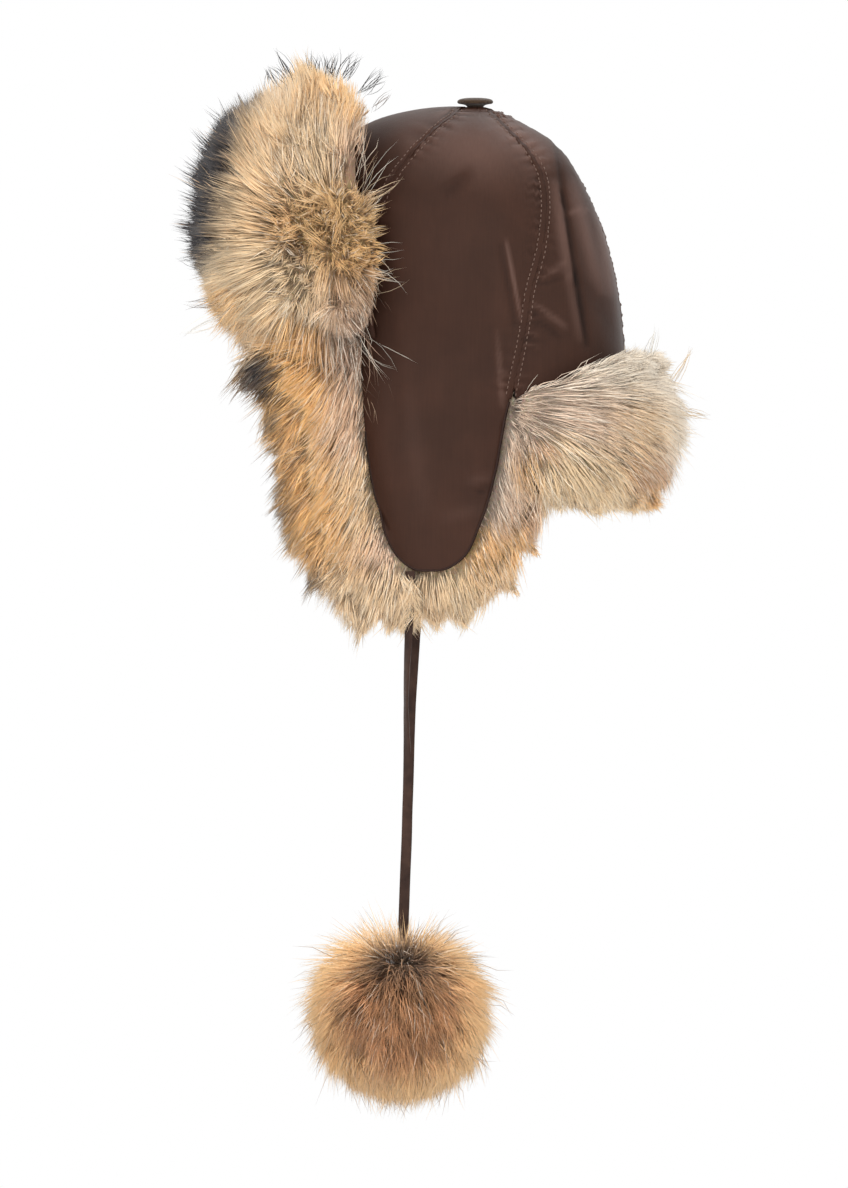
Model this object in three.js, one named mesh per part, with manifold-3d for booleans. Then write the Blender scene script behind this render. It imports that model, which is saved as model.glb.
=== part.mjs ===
// A fur trapper hat: padded nylon crown of five gores with ear flaps, a turned-up fur peak, a turned-up
// fur neck flap, and a tie with a fur pompom at the tip of each ear flap.
// Millimetres, +Z up. The front of the hat faces -Y and the wearer's left is +X. The origin is the middle
// of the head opening, level with the headband.

import * as THREE from "three";
import { mergeVertices } from "three/addons/utils/BufferGeometryUtils.js";
import Module from "manifold-3d";

const wasm = await Module();
wasm.setup();

// Driving dimensions
const wall = 5; // shell, padding and lining of the crown together
const gap = 0.35; // clearance between neighbouring pieces
const pelt = 0.8; // clearance between a pelt and the cloth that it lines
const rimRow = 9; // row of the crown table that is the rim
const crownAxisY = -8; // place of the button

const buttonRadius = 13.5;
const buttonStemRadius = 5.5;
const buttonTop = 183;

const peakWall = 3;
const peakEndY = -80; // the peak runs from temple to temple and stops here on each side
const peakFoot = 5; // fold of the peak, just above the rim

const neckWall = 2.6;
const neckEndAngle = 1.77; // the neck flap stops at this angle from the front, in radians
const neckFoot = -110; // fold of the neck flap

const liningDepth = 17; // fur on the inner side of an ear flap
const tieWidth = 7.4;
const tieThickness = 2.8;
const loopLength = 5;
const loopHalfWidth = 6;
const loopThickness = 7.2;
const pompomCore = 47;
const pompomReach = 69;
const pompomWidth = 1.22; // the ball is this much wider than it is high
const tieX = 82; // how far to each side the ties and pompoms hang

const furSplitZ = 6; // the peak's fur ends above this level and the ear flap's fur below it
const lockWidth = 33;
const turnedUpColumns = 11; // facets along the turned-up peak and along the neck flap
const furColumns = 7; // rows of locks along the peak and along the neck flap

// Rings of the crown from the button down, then of the ear flaps and the neck piece below the rim.
// Each ring is a superellipse in plan that may rise or fall at the front and at the back: halfX is half its
// width, square its exponent and puff how far the padded cloth swells between two seams.
const ringTable = [
  { frontY: -15.4, frontZ: 176, backY: -0.6, backZ: 175.4, halfX: 7.4, sideZ: 175.8, square: 2, puff: 0.2 },
  { frontY: -40, frontZ: 175, backY: 16, backZ: 169, halfX: 30, sideZ: 170, square: 2, puff: 1.6 },
  { frontY: -66, frontZ: 170, backY: 32, backZ: 160, halfX: 50, sideZ: 157, square: 2.1, puff: 2.4 },
  { frontY: -88, frontZ: 163, backY: 49, backZ: 148, halfX: 66, sideZ: 139, square: 2.15, puff: 2.8 },
  { frontY: -103, frontZ: 151, backY: 64, backZ: 132, halfX: 76, sideZ: 117, square: 2.2, puff: 3 },
  { frontY: -111, frontZ: 133, backY: 76, backZ: 110, halfX: 83, sideZ: 92, square: 2.25, puff: 3 },
  { frontY: -114, frontZ: 107, backY: 87, backZ: 85, halfX: 86.5, sideZ: 66, square: 2.3, puff: 3 },
  { frontY: -115, frontZ: 75, backY: 95, backZ: 55, halfX: 88, sideZ: 40, square: 2.3, puff: 2.6 },
  { frontY: -114, frontZ: 40, backY: 100, backZ: 26, halfX: 88.5, sideZ: 18, square: 2.35, puff: 1.8 },
  { frontY: -112, frontZ: 6, backY: 103, backZ: -2, halfX: 88, sideZ: -2, square: 2.4, puff: 1 },
  { frontY: -111, frontZ: -30, backY: 103, backZ: -30, halfX: 88, sideZ: -30, square: 2.6, puff: 1.2 },
  { frontY: -110, frontZ: -60, backY: 102, backZ: -60, halfX: 87.5, sideZ: -60, square: 2.8, puff: 1.6 },
  { frontY: -108, frontZ: -90, backY: 100, backZ: -90, halfX: 87, sideZ: -90, square: 3, puff: 1.8 },
  { frontY: -106, frontZ: -115, backY: 98, backZ: -115, halfX: 86, sideZ: -115, square: 3.2, puff: 1.8 },
  { frontY: -104, frontZ: -137, backY: 96, backZ: -137, halfX: 85, sideZ: -137, square: 3.3, puff: 1.6 },
  { frontY: -102, frontZ: -152, backY: 95, backZ: -152, halfX: 84.5, sideZ: -152, square: 3.4, puff: 1.2 },
  { frontY: -101, frontZ: -161, backY: 94, backZ: -161, halfX: 84, sideZ: -161, square: 3.5, puff: 0.8 },
  { frontY: -100, frontZ: -167, backY: 94, backZ: -167, halfX: 83.5, sideZ: -167, square: 3.5, puff: 0.4 },
];

// Seam between the front gore and the side gore, then the front edge of the ear flap.
const frontEdge = [
  { z: 180, y: -13 },
  { z: 172, y: -24 },
  { z: 156, y: -43 },
  { z: 137, y: -60 },
  { z: 122, y: -71 },
  { z: 96, y: -82 },
  { z: 60, y: -89 },
  { z: 25, y: -93 },
  { z: 0, y: -93 },
  { z: -63, y: -90 },
  { z: -115, y: -82 },
  { z: -137, y: -76 },
  { z: -152, y: -70 },
  { z: -161, y: -62 },
  { z: -167, y: -53 },
];

// Seam between the side gore and the back gore, then the back edge of the ear flap.
const rearEdge = [
  { z: 180, y: -3 },
  { z: 171, y: 5 },
  { z: 158, y: 18 },
  { z: 145, y: 31 },
  { z: 128, y: 41 },
  { z: 105, y: 44 },
  { z: 80, y: 42.5 },
  { z: 60, y: 38 },
  { z: 38, y: 32 },
  { z: 15, y: 29 },
  { z: -30, y: 20 },
  { z: -56, y: 14 },
  { z: -93, y: 8 },
  { z: -115, y: 3 },
  { z: -137, y: -4 },
  { z: -152, y: -11 },
  { z: -161, y: -19 },
  { z: -167, y: -31 },
];

// Side edge of the neck piece, which parts from the ear flap below the level -30.
const napeEdge = [
  { z: -30, y: 20 },
  { z: -60, y: 27 },
  { z: -90, y: 34 },
  { z: -115, y: 40 },
];

// Ridges and dents of the soft shell on each side, as straight strokes in side view.
const foldTable = [
  { fromY: 50, fromZ: 148, toY: 74, toZ: 40, width: 7, height: 3.2 }, // roll of the back gore
  { fromY: 62, fromZ: 110, toY: 84, toZ: 30, width: 9, height: -2.2 }, // hollow behind that roll
  { fromY: 14, fromZ: 76, toY: 22, toZ: 14, width: 5, height: 1.8 }, // pleats in front of the rear seam
  { fromY: 2, fromZ: 60, toY: 10, toZ: 6, width: 5, height: -1.4 },
  { fromY: -30, fromZ: 122, toY: -10, toZ: 138, width: 8, height: -1.6 }, // slanting dent near the top
  { fromY: -84, fromZ: -108, toY: -72, toZ: -138, width: 5, height: -1.8 }, // crease low on the ear flap
  { fromY: -8, fromZ: -112, toY: 4, toZ: -104, width: 4, height: -1.8 }, // pucker at its rear edge
];

// How far the turned-up peak and neck flap stand off the crown, from the fold up.
const peakStand = [
  { z: 5, off: 0.5 },
  { z: 16, off: 4.6 },
  { z: 45, off: 7.5 },
  { z: 90, off: 10 },
  { z: 170, off: 13 },
];
const neckStand = [
  { z: -110, off: 0.5 },
  { z: -98, off: 3.6 },
  { z: -60, off: 6 },
  { z: 0, off: 8.5 },
];

// Upper edges; along runs from 0 at the middle of the piece to 1 at its ends.
const peakTop = [
  { along: 0, z: 168 },
  { along: 0.5, z: 165 },
  { along: 0.86, z: 158 },
  { along: 1, z: 138 },
];
const neckTop = [
  { along: 0, z: -16 },
  { along: 0.5, z: -14 },
  { along: 0.8, z: -30 },
  { along: 1, z: -52 },
];

// Upright section of the peak's fur at the front: depth is measured from the peak's cloth, and lock is the
// length of the locks that start from a row.
const peakFurSection = [
  { z: 8, depth: 30, lock: 24 },
  { z: 10, depth: 58, lock: 24 },
  { z: 38, depth: 73, lock: 24 },
  { z: 80, depth: 80, lock: 24 },
  { z: 122, depth: 76, lock: 24 },
  { z: 158, depth: 58, lock: 23 },
  { z: 187, depth: 21, lock: 17 },
  { z: 200, depth: 4, lock: 17 },
];
const peakFurDepth = [
  { along: 0, share: 1 },
  { along: 0.35, share: 0.97 },
  { along: 0.7, share: 0.8 },
  { along: 1, share: 0.52 },
];
const peakFurDrop = [
  { along: 0, z: 0 },
  { along: 0.6, z: -1 },
  { along: 1, z: -22 },
];

// Upright section of the neck flap's fur at the back.
const neckFurSection = [
  { z: -112, depth: 4 },
  { z: -121, depth: 14 },
  { z: -112, depth: 27 },
  { z: -92, depth: 32 },
  { z: -62, depth: 34 },
  { z: -36, depth: 30 },
  { z: -16, depth: 20 },
  { z: -7, depth: 8 },
];
const neckFurDepth = [
  { along: 0, share: 1 },
  { along: 0.5, share: 0.95 },
  { along: 0.8, share: 0.75 },
  { along: 1, share: 0.5 },
];
const neckFurDrop = [
  { along: 0, z: 0 },
  { along: 0.45, z: 3 },
  { along: 0.8, z: -14 },
  { along: 1, z: -30 },
];

// Level sections of the ear flap's fur; bulge is how far it stands outside the flap's edge.
const earFurTable = [
  { z: 4, frontY: -180, rearY: 6, frontBulge: 18, rearBulge: 0 },
  { z: -22, frontY: -174, rearY: 8, frontBulge: 24, rearBulge: 0 },
  { z: -42, frontY: -156, rearY: 29, frontBulge: 24, rearBulge: 11 },
  { z: -80, frontY: -144, rearY: 38, frontBulge: 22, rearBulge: 17 },
  { z: -115, frontY: -141, rearY: 38, frontBulge: 21, rearBulge: 19 },
  { z: -140, frontY: -136, rearY: 28, frontBulge: 20, rearBulge: 18 },
  { z: -163, frontY: -124, rearY: 17, frontBulge: 18, rearBulge: 17 },
  { z: -184, frontY: -106, rearY: 9, frontBulge: 14, rearBulge: 13 },
  { z: -198, frontY: -92, rearY: -10, frontBulge: 8, rearBulge: 7 },
];

// Middle lines of the ties from the ear flap's tip to the pompom. The right one starts further back.
const leftTieRoute = [
  { y: -56, z: -167.5 },
  { y: -56.4, z: -190 },
  { y: -57.2, z: -212 },
  { y: -58.5, z: -238 },
  { y: -59.2, z: -265 },
  { y: -58.6, z: -292 },
  { y: -58, z: -321 },
  { y: -58.4, z: -345 },
  { y: -59, z: -368 },
  { y: -60, z: -392 },
  { y: -60.8, z: -415 },
  { y: -61.4, z: -430 },
  { y: -61.6, z: -443 },
];
const rightTieRoute = [
  { y: -50.5, z: -167.5 },
  { y: -51, z: -190 },
  { y: -52, z: -212 },
  { y: -53.5, z: -238 },
  { y: -55, z: -265 },
  { y: -56, z: -292 },
  { y: -57, z: -321 },
  { y: -58, z: -345 },
  { y: -58.6, z: -368 },
  { y: -59.6, z: -392 },
  { y: -60.4, z: -415 },
  { y: -61, z: -430 },
  { y: -61.2, z: -443 },
];

// Smooth reading of a table: the value of one column where another has the given value.
function readTable(table, keyColumn, valueColumn, key) {
  const rising = table[table.length - 1][keyColumn] > table[0][keyColumn];
  const before = (row) => (rising ? row[keyColumn] <= key : row[keyColumn] >= key);
  let low = 0;
  while (low < table.length - 2 && before(table[low + 1])) low += 1;
  const slope = (i) => {
    const a = table[Math.max(i - 1, 0)];
    const b = table[Math.min(i + 1, table.length - 1)];
    return (b[valueColumn] - a[valueColumn]) / (b[keyColumn] - a[keyColumn]);
  };
  const start = table[low];
  const end = table[low + 1];
  const span = end[keyColumn] - start[keyColumn];
  const s = THREE.MathUtils.clamp((key - start[keyColumn]) / span, 0, 1);
  const s2 = s * s;
  const s3 = s2 * s;
  return (
    (2 * s3 - 3 * s2 + 1) * start[valueColumn] +
    (s3 - 2 * s2 + s) * span * slope(low) +
    (3 * s2 - 2 * s3) * end[valueColumn] +
    (s3 - s2) * span * slope(low + 1)
  );
}

const numberedRings = ringTable.map((row, index) => ({ ...row, row: index }));
const ringValue = (row, name) => readTable(numberedRings, "row", name, row);
const rowAtSideLevel = (z) => readTable(numberedRings, "sideZ", "row", z);

// Repeatable unevenness between -1 and 1 for locks of fur.
function wobble(i, j) {
  const value = Math.sin(i * 12.9898 + j * 78.233) * 43758.5453;
  return 2 * (value - Math.floor(value)) - 1;
}

// Point of the crown's smooth form: angle 0 is the front, pi / 2 the wearer's left, pi the back.
function formPoint(row, angle) {
  const frontY = ringValue(row, "frontY");
  const backY = ringValue(row, "backY");
  const power = 2 / ringValue(row, "square");
  const c = Math.cos(angle);
  const s = Math.sin(angle);
  const sideZ = ringValue(row, "sideZ");
  const endZ = c > 0 ? ringValue(row, "frontZ") : ringValue(row, "backZ");
  return new THREE.Vector3(
    ringValue(row, "halfX") * Math.sign(s) * Math.abs(s) ** power,
    (frontY + backY) / 2 - ((backY - frontY) / 2) * Math.sign(c) * Math.abs(c) ** power,
    sideZ + (endZ - sideZ) * c * c,
  );
}

function formNormal(row, angle) {
  const step = 0.02;
  const last = ringTable.length - 1;
  const above = formPoint(Math.max(row - step, 0), angle);
  const below = formPoint(Math.min(row + step, last), angle);
  const alongRing = formPoint(row, angle + step).sub(formPoint(row, angle - step));
  return alongRing.cross(above.sub(below)).normalize();
}

// Angle on a ring where the form meets an edge or seam given in side view.
function angleAtEdge(row, edge) {
  let low = 0;
  let high = Math.PI;
  for (let i = 0; i < 40; i += 1) {
    const middle = (low + high) / 2;
    const point = formPoint(row, middle);
    if (point.y < readTable(edge, "z", "y", point.z)) low = middle;
    else high = middle;
  }
  return (low + high) / 2;
}

// Height of the folds at a point of the shell.
function foldHeight(point) {
  let height = 0;
  for (const fold of foldTable) {
    const runY = fold.toY - fold.fromY;
    const runZ = fold.toZ - fold.fromZ;
    const share = THREE.MathUtils.clamp(
      ((point.y - fold.fromY) * runY + (point.z - fold.fromZ) * runZ) / (runY ** 2 + runZ ** 2),
      0,
      1,
    );
    const away = Math.hypot(point.y - fold.fromY - share * runY, point.z - fold.fromZ - share * runZ);
    height += fold.height * Math.exp(-((away / fold.width) ** 2));
  }
  return height;
}

// A closed solid from points and triangles, turned face outwards when it comes out inside out.
function closedSolid(points, triangles) {
  const vertProperties = new Float32Array(points.flatMap((p) => [p.x, p.y, p.z]));
  const build = (list) =>
    new wasm.Manifold(new wasm.Mesh({ numProp: 3, vertProperties, triVerts: new Uint32Array(list) }));
  const made = build(triangles);
  if (made.volume() > 0) return made;
  const turned = [];
  for (let i = 0; i < triangles.length; i += 3) {
    turned.push(triangles[i], triangles[i + 2], triangles[i + 1]);
  }
  return build(turned);
}

// A closed three.js shape as a solid, by its places alone.
function solidOf(geometry) {
  const bare = new THREE.BufferGeometry().setAttribute("position", geometry.getAttribute("position"));
  bare.setIndex(geometry.getIndex());
  const merged = mergeVertices(bare, 1e-3);
  const vertProperties = new Float32Array(merged.getAttribute("position").array);
  const triVerts = new Uint32Array(merged.getIndex().array);
  return new wasm.Manifold(new wasm.Mesh({ numProp: 3, vertProperties, triVerts }));
}

// A curved wall between two grids of points of the same size.
function wallSolid(outer, inner) {
  const rows = outer.length;
  const columns = outer[0].length;
  const points = [...outer.flat(), ...inner.flat()];
  const out = (i, j) => i * columns + j;
  const inn = (i, j) => rows * columns + i * columns + j;
  const triangles = [];
  const quad = (a, b, c, d) => triangles.push(a, b, c, a, c, d);
  for (let i = 0; i < rows - 1; i += 1) {
    for (let j = 0; j < columns - 1; j += 1) {
      quad(out(i, j), out(i + 1, j), out(i + 1, j + 1), out(i, j + 1));
      quad(inn(i, j), inn(i, j + 1), inn(i + 1, j + 1), inn(i + 1, j));
    }
    quad(out(i, 0), inn(i, 0), inn(i + 1, 0), out(i + 1, 0));
    quad(out(i, columns - 1), out(i + 1, columns - 1), inn(i + 1, columns - 1), inn(i, columns - 1));
  }
  for (let j = 0; j < columns - 1; j += 1) {
    quad(out(0, j), out(0, j + 1), inn(0, j + 1), inn(0, j));
    quad(out(rows - 1, j), inn(rows - 1, j), inn(rows - 1, j + 1), out(rows - 1, j + 1));
  }
  return closedSolid(points, triangles);
}

// Triangles of a flat end, which run along the outline's own order when forward is true.
function capTriangles(outline, forward) {
  const flat = THREE.ShapeUtils.triangulateShape(outline, []);
  const runsForward = flat.some(
    (corners) => corners.includes(0) && (corners.indexOf(0) + 1) % 3 === corners.indexOf(1),
  );
  return runsForward === forward ? flat : flat.map(([a, b, c]) => [a, c, b]);
}

// A solid through closed rings of the same count, with flat ends cut into triangles from the outline.
function loftSolid(rings, outlineOf) {
  const count = rings[0].length;
  const points = rings.flat();
  const triangles = [];
  for (let i = 0; i < rings.length - 1; i += 1) {
    for (let j = 0; j < count; j += 1) {
      const next = (j + 1) % count;
      const a = i * count + j;
      const b = i * count + next;
      triangles.push(a, b, b + count, a, b + count, a + count);
    }
  }
  for (const [ring, forward] of [
    [0, false],
    [rings.length - 1, true],
  ]) {
    for (const corners of capTriangles(rings[ring].map(outlineOf), forward)) {
      triangles.push(...corners.map((corner) => ring * count + corner));
    }
  }
  return closedSolid(points, triangles);
}

// One tapered, bent lock of fur with three sides.
function furLock(root, direction, bend, length, width) {
  const axis = direction.clone().normalize();
  const side = new THREE.Vector3(0.3, 0.5, 0.81).cross(axis).normalize();
  const across = axis.clone().cross(side);
  const place = (share) =>
    root
      .clone()
      .addScaledVector(axis, length * share)
      .addScaledVector(bend, length * share * Math.abs(share));
  const points = [];
  for (const { share, size } of [
    { share: -0.2, size: 0.56 },
    { share: 0.45, size: 0.4 },
  ]) {
    for (let corner = 0; corner < 3; corner += 1) {
      const turn = (corner * 2 * Math.PI) / 3;
      points.push(
        place(share)
          .addScaledVector(side, Math.cos(turn) * size * width)
          .addScaledVector(across, Math.sin(turn) * size * width),
      );
    }
  }
  points.push(place(1));
  const triangles = [0, 2, 1];
  for (let corner = 0; corner < 3; corner += 1) {
    const next = (corner + 1) % 3;
    triangles.push(corner, next, next + 3, corner, next + 3, corner + 3, corner + 3, next + 3, 6);
  }
  return closedSolid(points, triangles);
}

function joined(backing, locks) {
  return locks.reduce((whole, lock) => whole.add(lock), backing);
}

function largestBody(solid) {
  return solid.decompose().reduce((a, b) => (a.volume() > b.volume() ? a : b));
}

function boxSolid(lowX, highX, lowY, highY, lowZ, highZ) {
  const grid = (x) => [
    [new THREE.Vector3(x, lowY, lowZ), new THREE.Vector3(x, highY, lowZ)],
    [new THREE.Vector3(x, lowY, highZ), new THREE.Vector3(x, highY, highZ)],
  ];
  return wallSolid(grid(highX), grid(lowX));
}

// Everything behind a slanting plane in side view, through two points, as a cutter.
function behindPlane(from, to, shift) {
  const reach = 400;
  const along = new THREE.Vector2(to.y - from.y, to.z - from.z).normalize();
  const normal = new THREE.Vector2(-along.y, along.x);
  const grid = (x) =>
    [0, reach].map((depth) =>
      [-reach, reach].map(
        (run) =>
          new THREE.Vector3(
            x,
            from.y + along.x * run + normal.x * (depth + shift),
            from.z + along.y * run + normal.y * (depth + shift),
          ),
      ),
    );
  return wallSolid(grid(reach), grid(-reach));
}

const mirrorPoint = (point) => new THREE.Vector3(-point.x, point.y, point.z);
const evenSteps = (from, to, count) =>
  Array.from({ length: count + 1 }, (_, i) => THREE.MathUtils.lerp(from, to, i / count));

// A gore of the crown between two angles that change with the row. Grown makes a cutter that is larger
// all round by that much.
function goreSolid(rows, startAngle, endAngle, columns, mirrored, grown = 0) {
  const outer = [];
  const inner = [];
  rows.forEach((row, rowIndex) => {
    const from = startAngle(row);
    const to = endAngle(row);
    const ringSize = formPoint(row, (from + to) / 2).distanceTo(new THREE.Vector3(0, crownAxisY, 0));
    const ringReach = THREE.MathUtils.clamp(ringSize, ringTable[0].halfX, ringTable[rimRow].halfX);
    const inset = (gap / 2 - grown) / ringReach;
    const outerRow = [];
    const innerRow = [];
    for (let column = 0; column <= columns; column += 1) {
      const share = column / columns;
      const angle = THREE.MathUtils.lerp(from + inset, to - inset, share);
      const base = formPoint(row, angle);
      const normal = formNormal(row, angle);
      const atBorder = column === 0 || column === columns;
      const soft = ringValue(row, "puff") * Math.sin(Math.PI * share) ** 0.7;
      const rise = atBorder ? 0 : soft + foldHeight(base) * Math.min(1, 6 * share, 6 * (1 - share));
      const isLast = rowIndex === rows.length - 1;
      const drop = isLast ? -grown : 0;
      const lowered = new THREE.Vector3(0, 0, drop);
      outerRow.push(base.clone().addScaledVector(normal, rise + grown).add(lowered));
      innerRow.push(base.clone().addScaledVector(normal, -wall - grown).add(lowered));
    }
    outer.push(mirrored ? outerRow.map(mirrorPoint) : outerRow);
    inner.push(mirrored ? innerRow.map(mirrorPoint) : innerRow);
  });
  return wallSolid(outer, inner);
}

const crownRows = [0, 1, 2, 3, 4, 5, 6, 7, 8, rimRow];
const flapRows = [10, 11, 12, 13, 14, 15, 16, 17];
const frontSeamAngle = (row) => angleAtEdge(row, frontEdge);
const rearSeamAngle = (row) => angleAtEdge(row, rearEdge);
const napeAngle = (row) => angleAtEdge(row, row > 10 ? napeEdge : rearEdge);
const napeRows = [...crownRows, 10, 11, 12, rowAtSideLevel(neckFoot)];
const sideRows = [...crownRows, ...flapRows];

const frontPanel = (grown) =>
  goreSolid(crownRows, (row) => -frontSeamAngle(row), frontSeamAngle, 8, false, grown);
const sidePanel = (mirrored, grown) =>
  goreSolid(sideRows, frontSeamAngle, rearSeamAngle, 9, mirrored, grown);
const backPanel = (mirrored, grown) => goreSolid(napeRows, napeAngle, () => Math.PI, 6, mirrored, grown);

// Button with its stem through the hole where the gores meet.
function buttonGeometry() {
  const profile = [
    { radius: 0, z: 169.5 },
    { radius: buttonStemRadius, z: 169.5 },
    { radius: buttonStemRadius, z: 177.6 },
    { radius: buttonRadius - 1.6, z: 177.8 },
    { radius: buttonRadius, z: 179.4 },
    { radius: buttonRadius - 1, z: 181.4 },
    { radius: buttonRadius * 0.55, z: buttonTop - 0.4 },
    { radius: 0, z: buttonTop },
  ];
  const geometry = new THREE.LatheGeometry(
    profile.map((p) => new THREE.Vector2(p.radius, p.z)),
    20,
  );
  geometry.rotateX(Math.PI / 2);
  geometry.translate(0, crownAxisY, 0);
  return geometry;
}

// Level direction that points away from the hat at an angle of a ring.
function levelNormal(row, angle) {
  const step = 0.02;
  const run = formPoint(row, angle + step).sub(formPoint(row, angle - step));
  return new THREE.Vector3(run.y, -run.x, 0).normalize();
}

// A turned-up piece stands on a ring of the shell: along runs from -1 to 1 between its two ends.
const peakEndAngle = angleAtEdge(rimRow, [
  { z: 100, y: peakEndY },
  { z: -100, y: peakEndY },
]);
function peakPoint(along, z, depth) {
  const angle = along * peakEndAngle;
  const point = formPoint(rimRow, angle);
  const stand = readTable(peakStand, "z", "off", z) + ringValue(rimRow, "puff");
  return point.addScaledVector(levelNormal(rimRow, angle), stand + depth).setZ(z);
}
function neckPoint(along, z, depth) {
  const angle = Math.PI + along * (Math.PI - neckEndAngle);
  const row = rowAtSideLevel(THREE.MathUtils.clamp(z, neckFoot, -4));
  const point = formPoint(row, angle);
  const stand = readTable(neckStand, "z", "off", z) + ringValue(row, "puff");
  return point.addScaledVector(levelNormal(row, angle), stand + depth).setZ(z);
}

// Cloth wall of a turned-up piece, from its fold to its upper edge.
function turnedUpWall(pointAt, stand, foot, top, thickness, grown = 0) {
  const lowest = Math.min(...top.map((row) => row.z));
  const levels = stand.map((row) => row.z).filter((z) => z < lowest);
  const grid = (depth) =>
    [...levels, Infinity].map((level, index) =>
      evenSteps(-1, 1, turnedUpColumns).map((along) => {
        const upper = readTable(top, "along", "z", Math.abs(along)) + grown;
        const z = index === 0 ? foot - grown : Math.min(level, upper);
        return pointAt(along * (1 + grown / 120), z, depth);
      }),
    );
  return wallSolid(grid(thickness + grown), grid(-grown));
}

// Share of the way up a section of fur.
function riseIn(section, z) {
  const low = section[0].z;
  return THREE.MathUtils.clamp((z - low) / (section[section.length - 1].z - low), 0, 1);
}

// Rings of fur round upright sections: the inner side follows the cloth and the outer side bulges.
function uprightFurRings(pointAt, stand, section, shares, drops, clothThickness, columns, endTuck) {
  const stations = [
    { along: -1, tuck: endTuck, size: 0.4 },
    { along: -1, tuck: endTuck * 0.6, size: 0.8 },
    ...evenSteps(-1, 1, columns).map((along) => ({ along, tuck: 0, size: 1 })),
    { along: 1, tuck: endTuck * 0.6, size: 0.8 },
    { along: 1, tuck: endTuck, size: 0.4 },
  ];
  const lowZ = section[0].z;
  const highZ = section[section.length - 1].z;
  const innerLevels = stand.map((row) => row.z).filter((z) => z > lowZ + 1 && z < highZ - 12);
  return stations.map(({ along, tuck, size }) => {
    const side = Math.abs(along);
    const share = readTable(shares, "along", "share", side);
    const drop = readTable(drops, "along", "z", side);
    const middle = (lowZ + highZ + drop) / 2;
    const place = (level, depth) =>
      pointAt(along, THREE.MathUtils.lerp(middle, level, size), clothThickness + pelt + depth * size);
    const outer = section.map((row) => place(row.z + drop * riseIn(section, row.z), row.depth * share));
    const inner = innerLevels.map((z) => place(z, 0)).reverse();
    const tangent = pointAt(along, lowZ + 20, 20)
      .sub(pointAt(along * 0.98, lowZ + 20, 20))
      .setZ(0)
      .normalize();
    return [...outer, ...inner].map((point) => point.addScaledVector(tangent, tuck));
  });
}

const peakCloth = (grown) => turnedUpWall(peakPoint, peakStand, peakFoot, peakTop, peakWall, grown);
const neckCloth = (grown) => turnedUpWall(neckPoint, neckStand, neckFoot, neckTop, neckWall, grown);

// The peak's fur parts from a whorl beside each temple and leans away from it.
const whorl = { y: -119, z: 78, radius: 110 };
function peakFur() {
  const rings = uprightFurRings(
    peakPoint,
    peakStand,
    peakFurSection,
    peakFurDepth,
    peakFurDrop,
    peakWall,
    turnedUpColumns,
    9,
  );
  const firstRing = rings[0];
  const outAxis = peakPoint(-1, 90, 1).sub(peakPoint(-1, 90, 0));
  const backing = loftSolid(rings, (p) => new THREE.Vector2(p.clone().sub(firstRing[0]).dot(outAxis), p.z));
  const locks = [];
  for (let i = 0; i <= furColumns; i += 1) {
    const along = THREE.MathUtils.lerp(-1, 1, i / furColumns);
    const share = readTable(peakFurDepth, "along", "share", Math.abs(along));
    const drop = readTable(peakFurDrop, "along", "z", Math.abs(along));
    for (let j = 2; j < 7; j += 1) {
      const row = peakFurSection[j];
      const z = row.z - 4 + drop * riseIn(peakFurSection, row.z) + 4 * wobble(i, j);
      const root = peakPoint(along, z, peakWall + gap + row.depth * share - 5);
      const out = root.clone().sub(peakPoint(along, z, 0)).normalize();
      const rise = (z - whorl.z) / whorl.radius;
      const sweep = new THREE.Vector3(0, Math.min(root.y - whorl.y, 0) / whorl.radius, rise);
      const direction = out.add(sweep);
      const bend = new THREE.Vector3(0, 0, 0.22 * rise);
      locks.push(furLock(root, direction, bend, row.lock + 3 * wobble(j, i), lockWidth));
    }
  }
  return { backing, locks };
}

function neckFur() {
  const rings = uprightFurRings(
    neckPoint,
    neckStand,
    neckFurSection,
    neckFurDepth,
    neckFurDrop,
    neckWall,
    turnedUpColumns,
    6,
  );
  const firstRing = rings[0];
  const outAxis = neckPoint(-1, -60, 1).sub(neckPoint(-1, -60, 0));
  const backing = loftSolid(rings, (p) => new THREE.Vector2(p.clone().sub(firstRing[0]).dot(outAxis), p.z));
  const locks = [];
  for (let i = 0; i <= furColumns; i += 1) {
    const along = THREE.MathUtils.lerp(-0.95, 0.95, i / furColumns);
    const share = readTable(neckFurDepth, "along", "share", Math.abs(along));
    const drop = readTable(neckFurDrop, "along", "z", Math.abs(along));
    for (let j = 0; j < 3; j += 1) {
      const row = neckFurSection[2 * j + 2];
      const rise = riseIn(neckFurSection, row.z);
      const z = row.z + drop * rise + 3 * wobble(i, j);
      const root = neckPoint(along, z, neckWall + gap + row.depth * share - 6);
      const out = root.clone().sub(neckPoint(along, z, 0)).normalize();
      const direction = out.add(new THREE.Vector3(0, 0.35, 0.9 * (rise - 0.55)));
      const bend = new THREE.Vector3(0, 0, -0.25);
      locks.push(furLock(root, direction, bend, 19 + 3 * wobble(j, i), lockWidth - 3));
    }
  }
  return { backing, locks };
}

// Depth of the ear flap's shell at a place in side view, on the left.
function flapX(y, z) {
  const row = rowAtSideLevel(z);
  const angle = angleAtEdge(row, [
    { z: 400, y },
    { z: -400, y },
  ]);
  return formPoint(row, angle).x;
}

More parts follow.
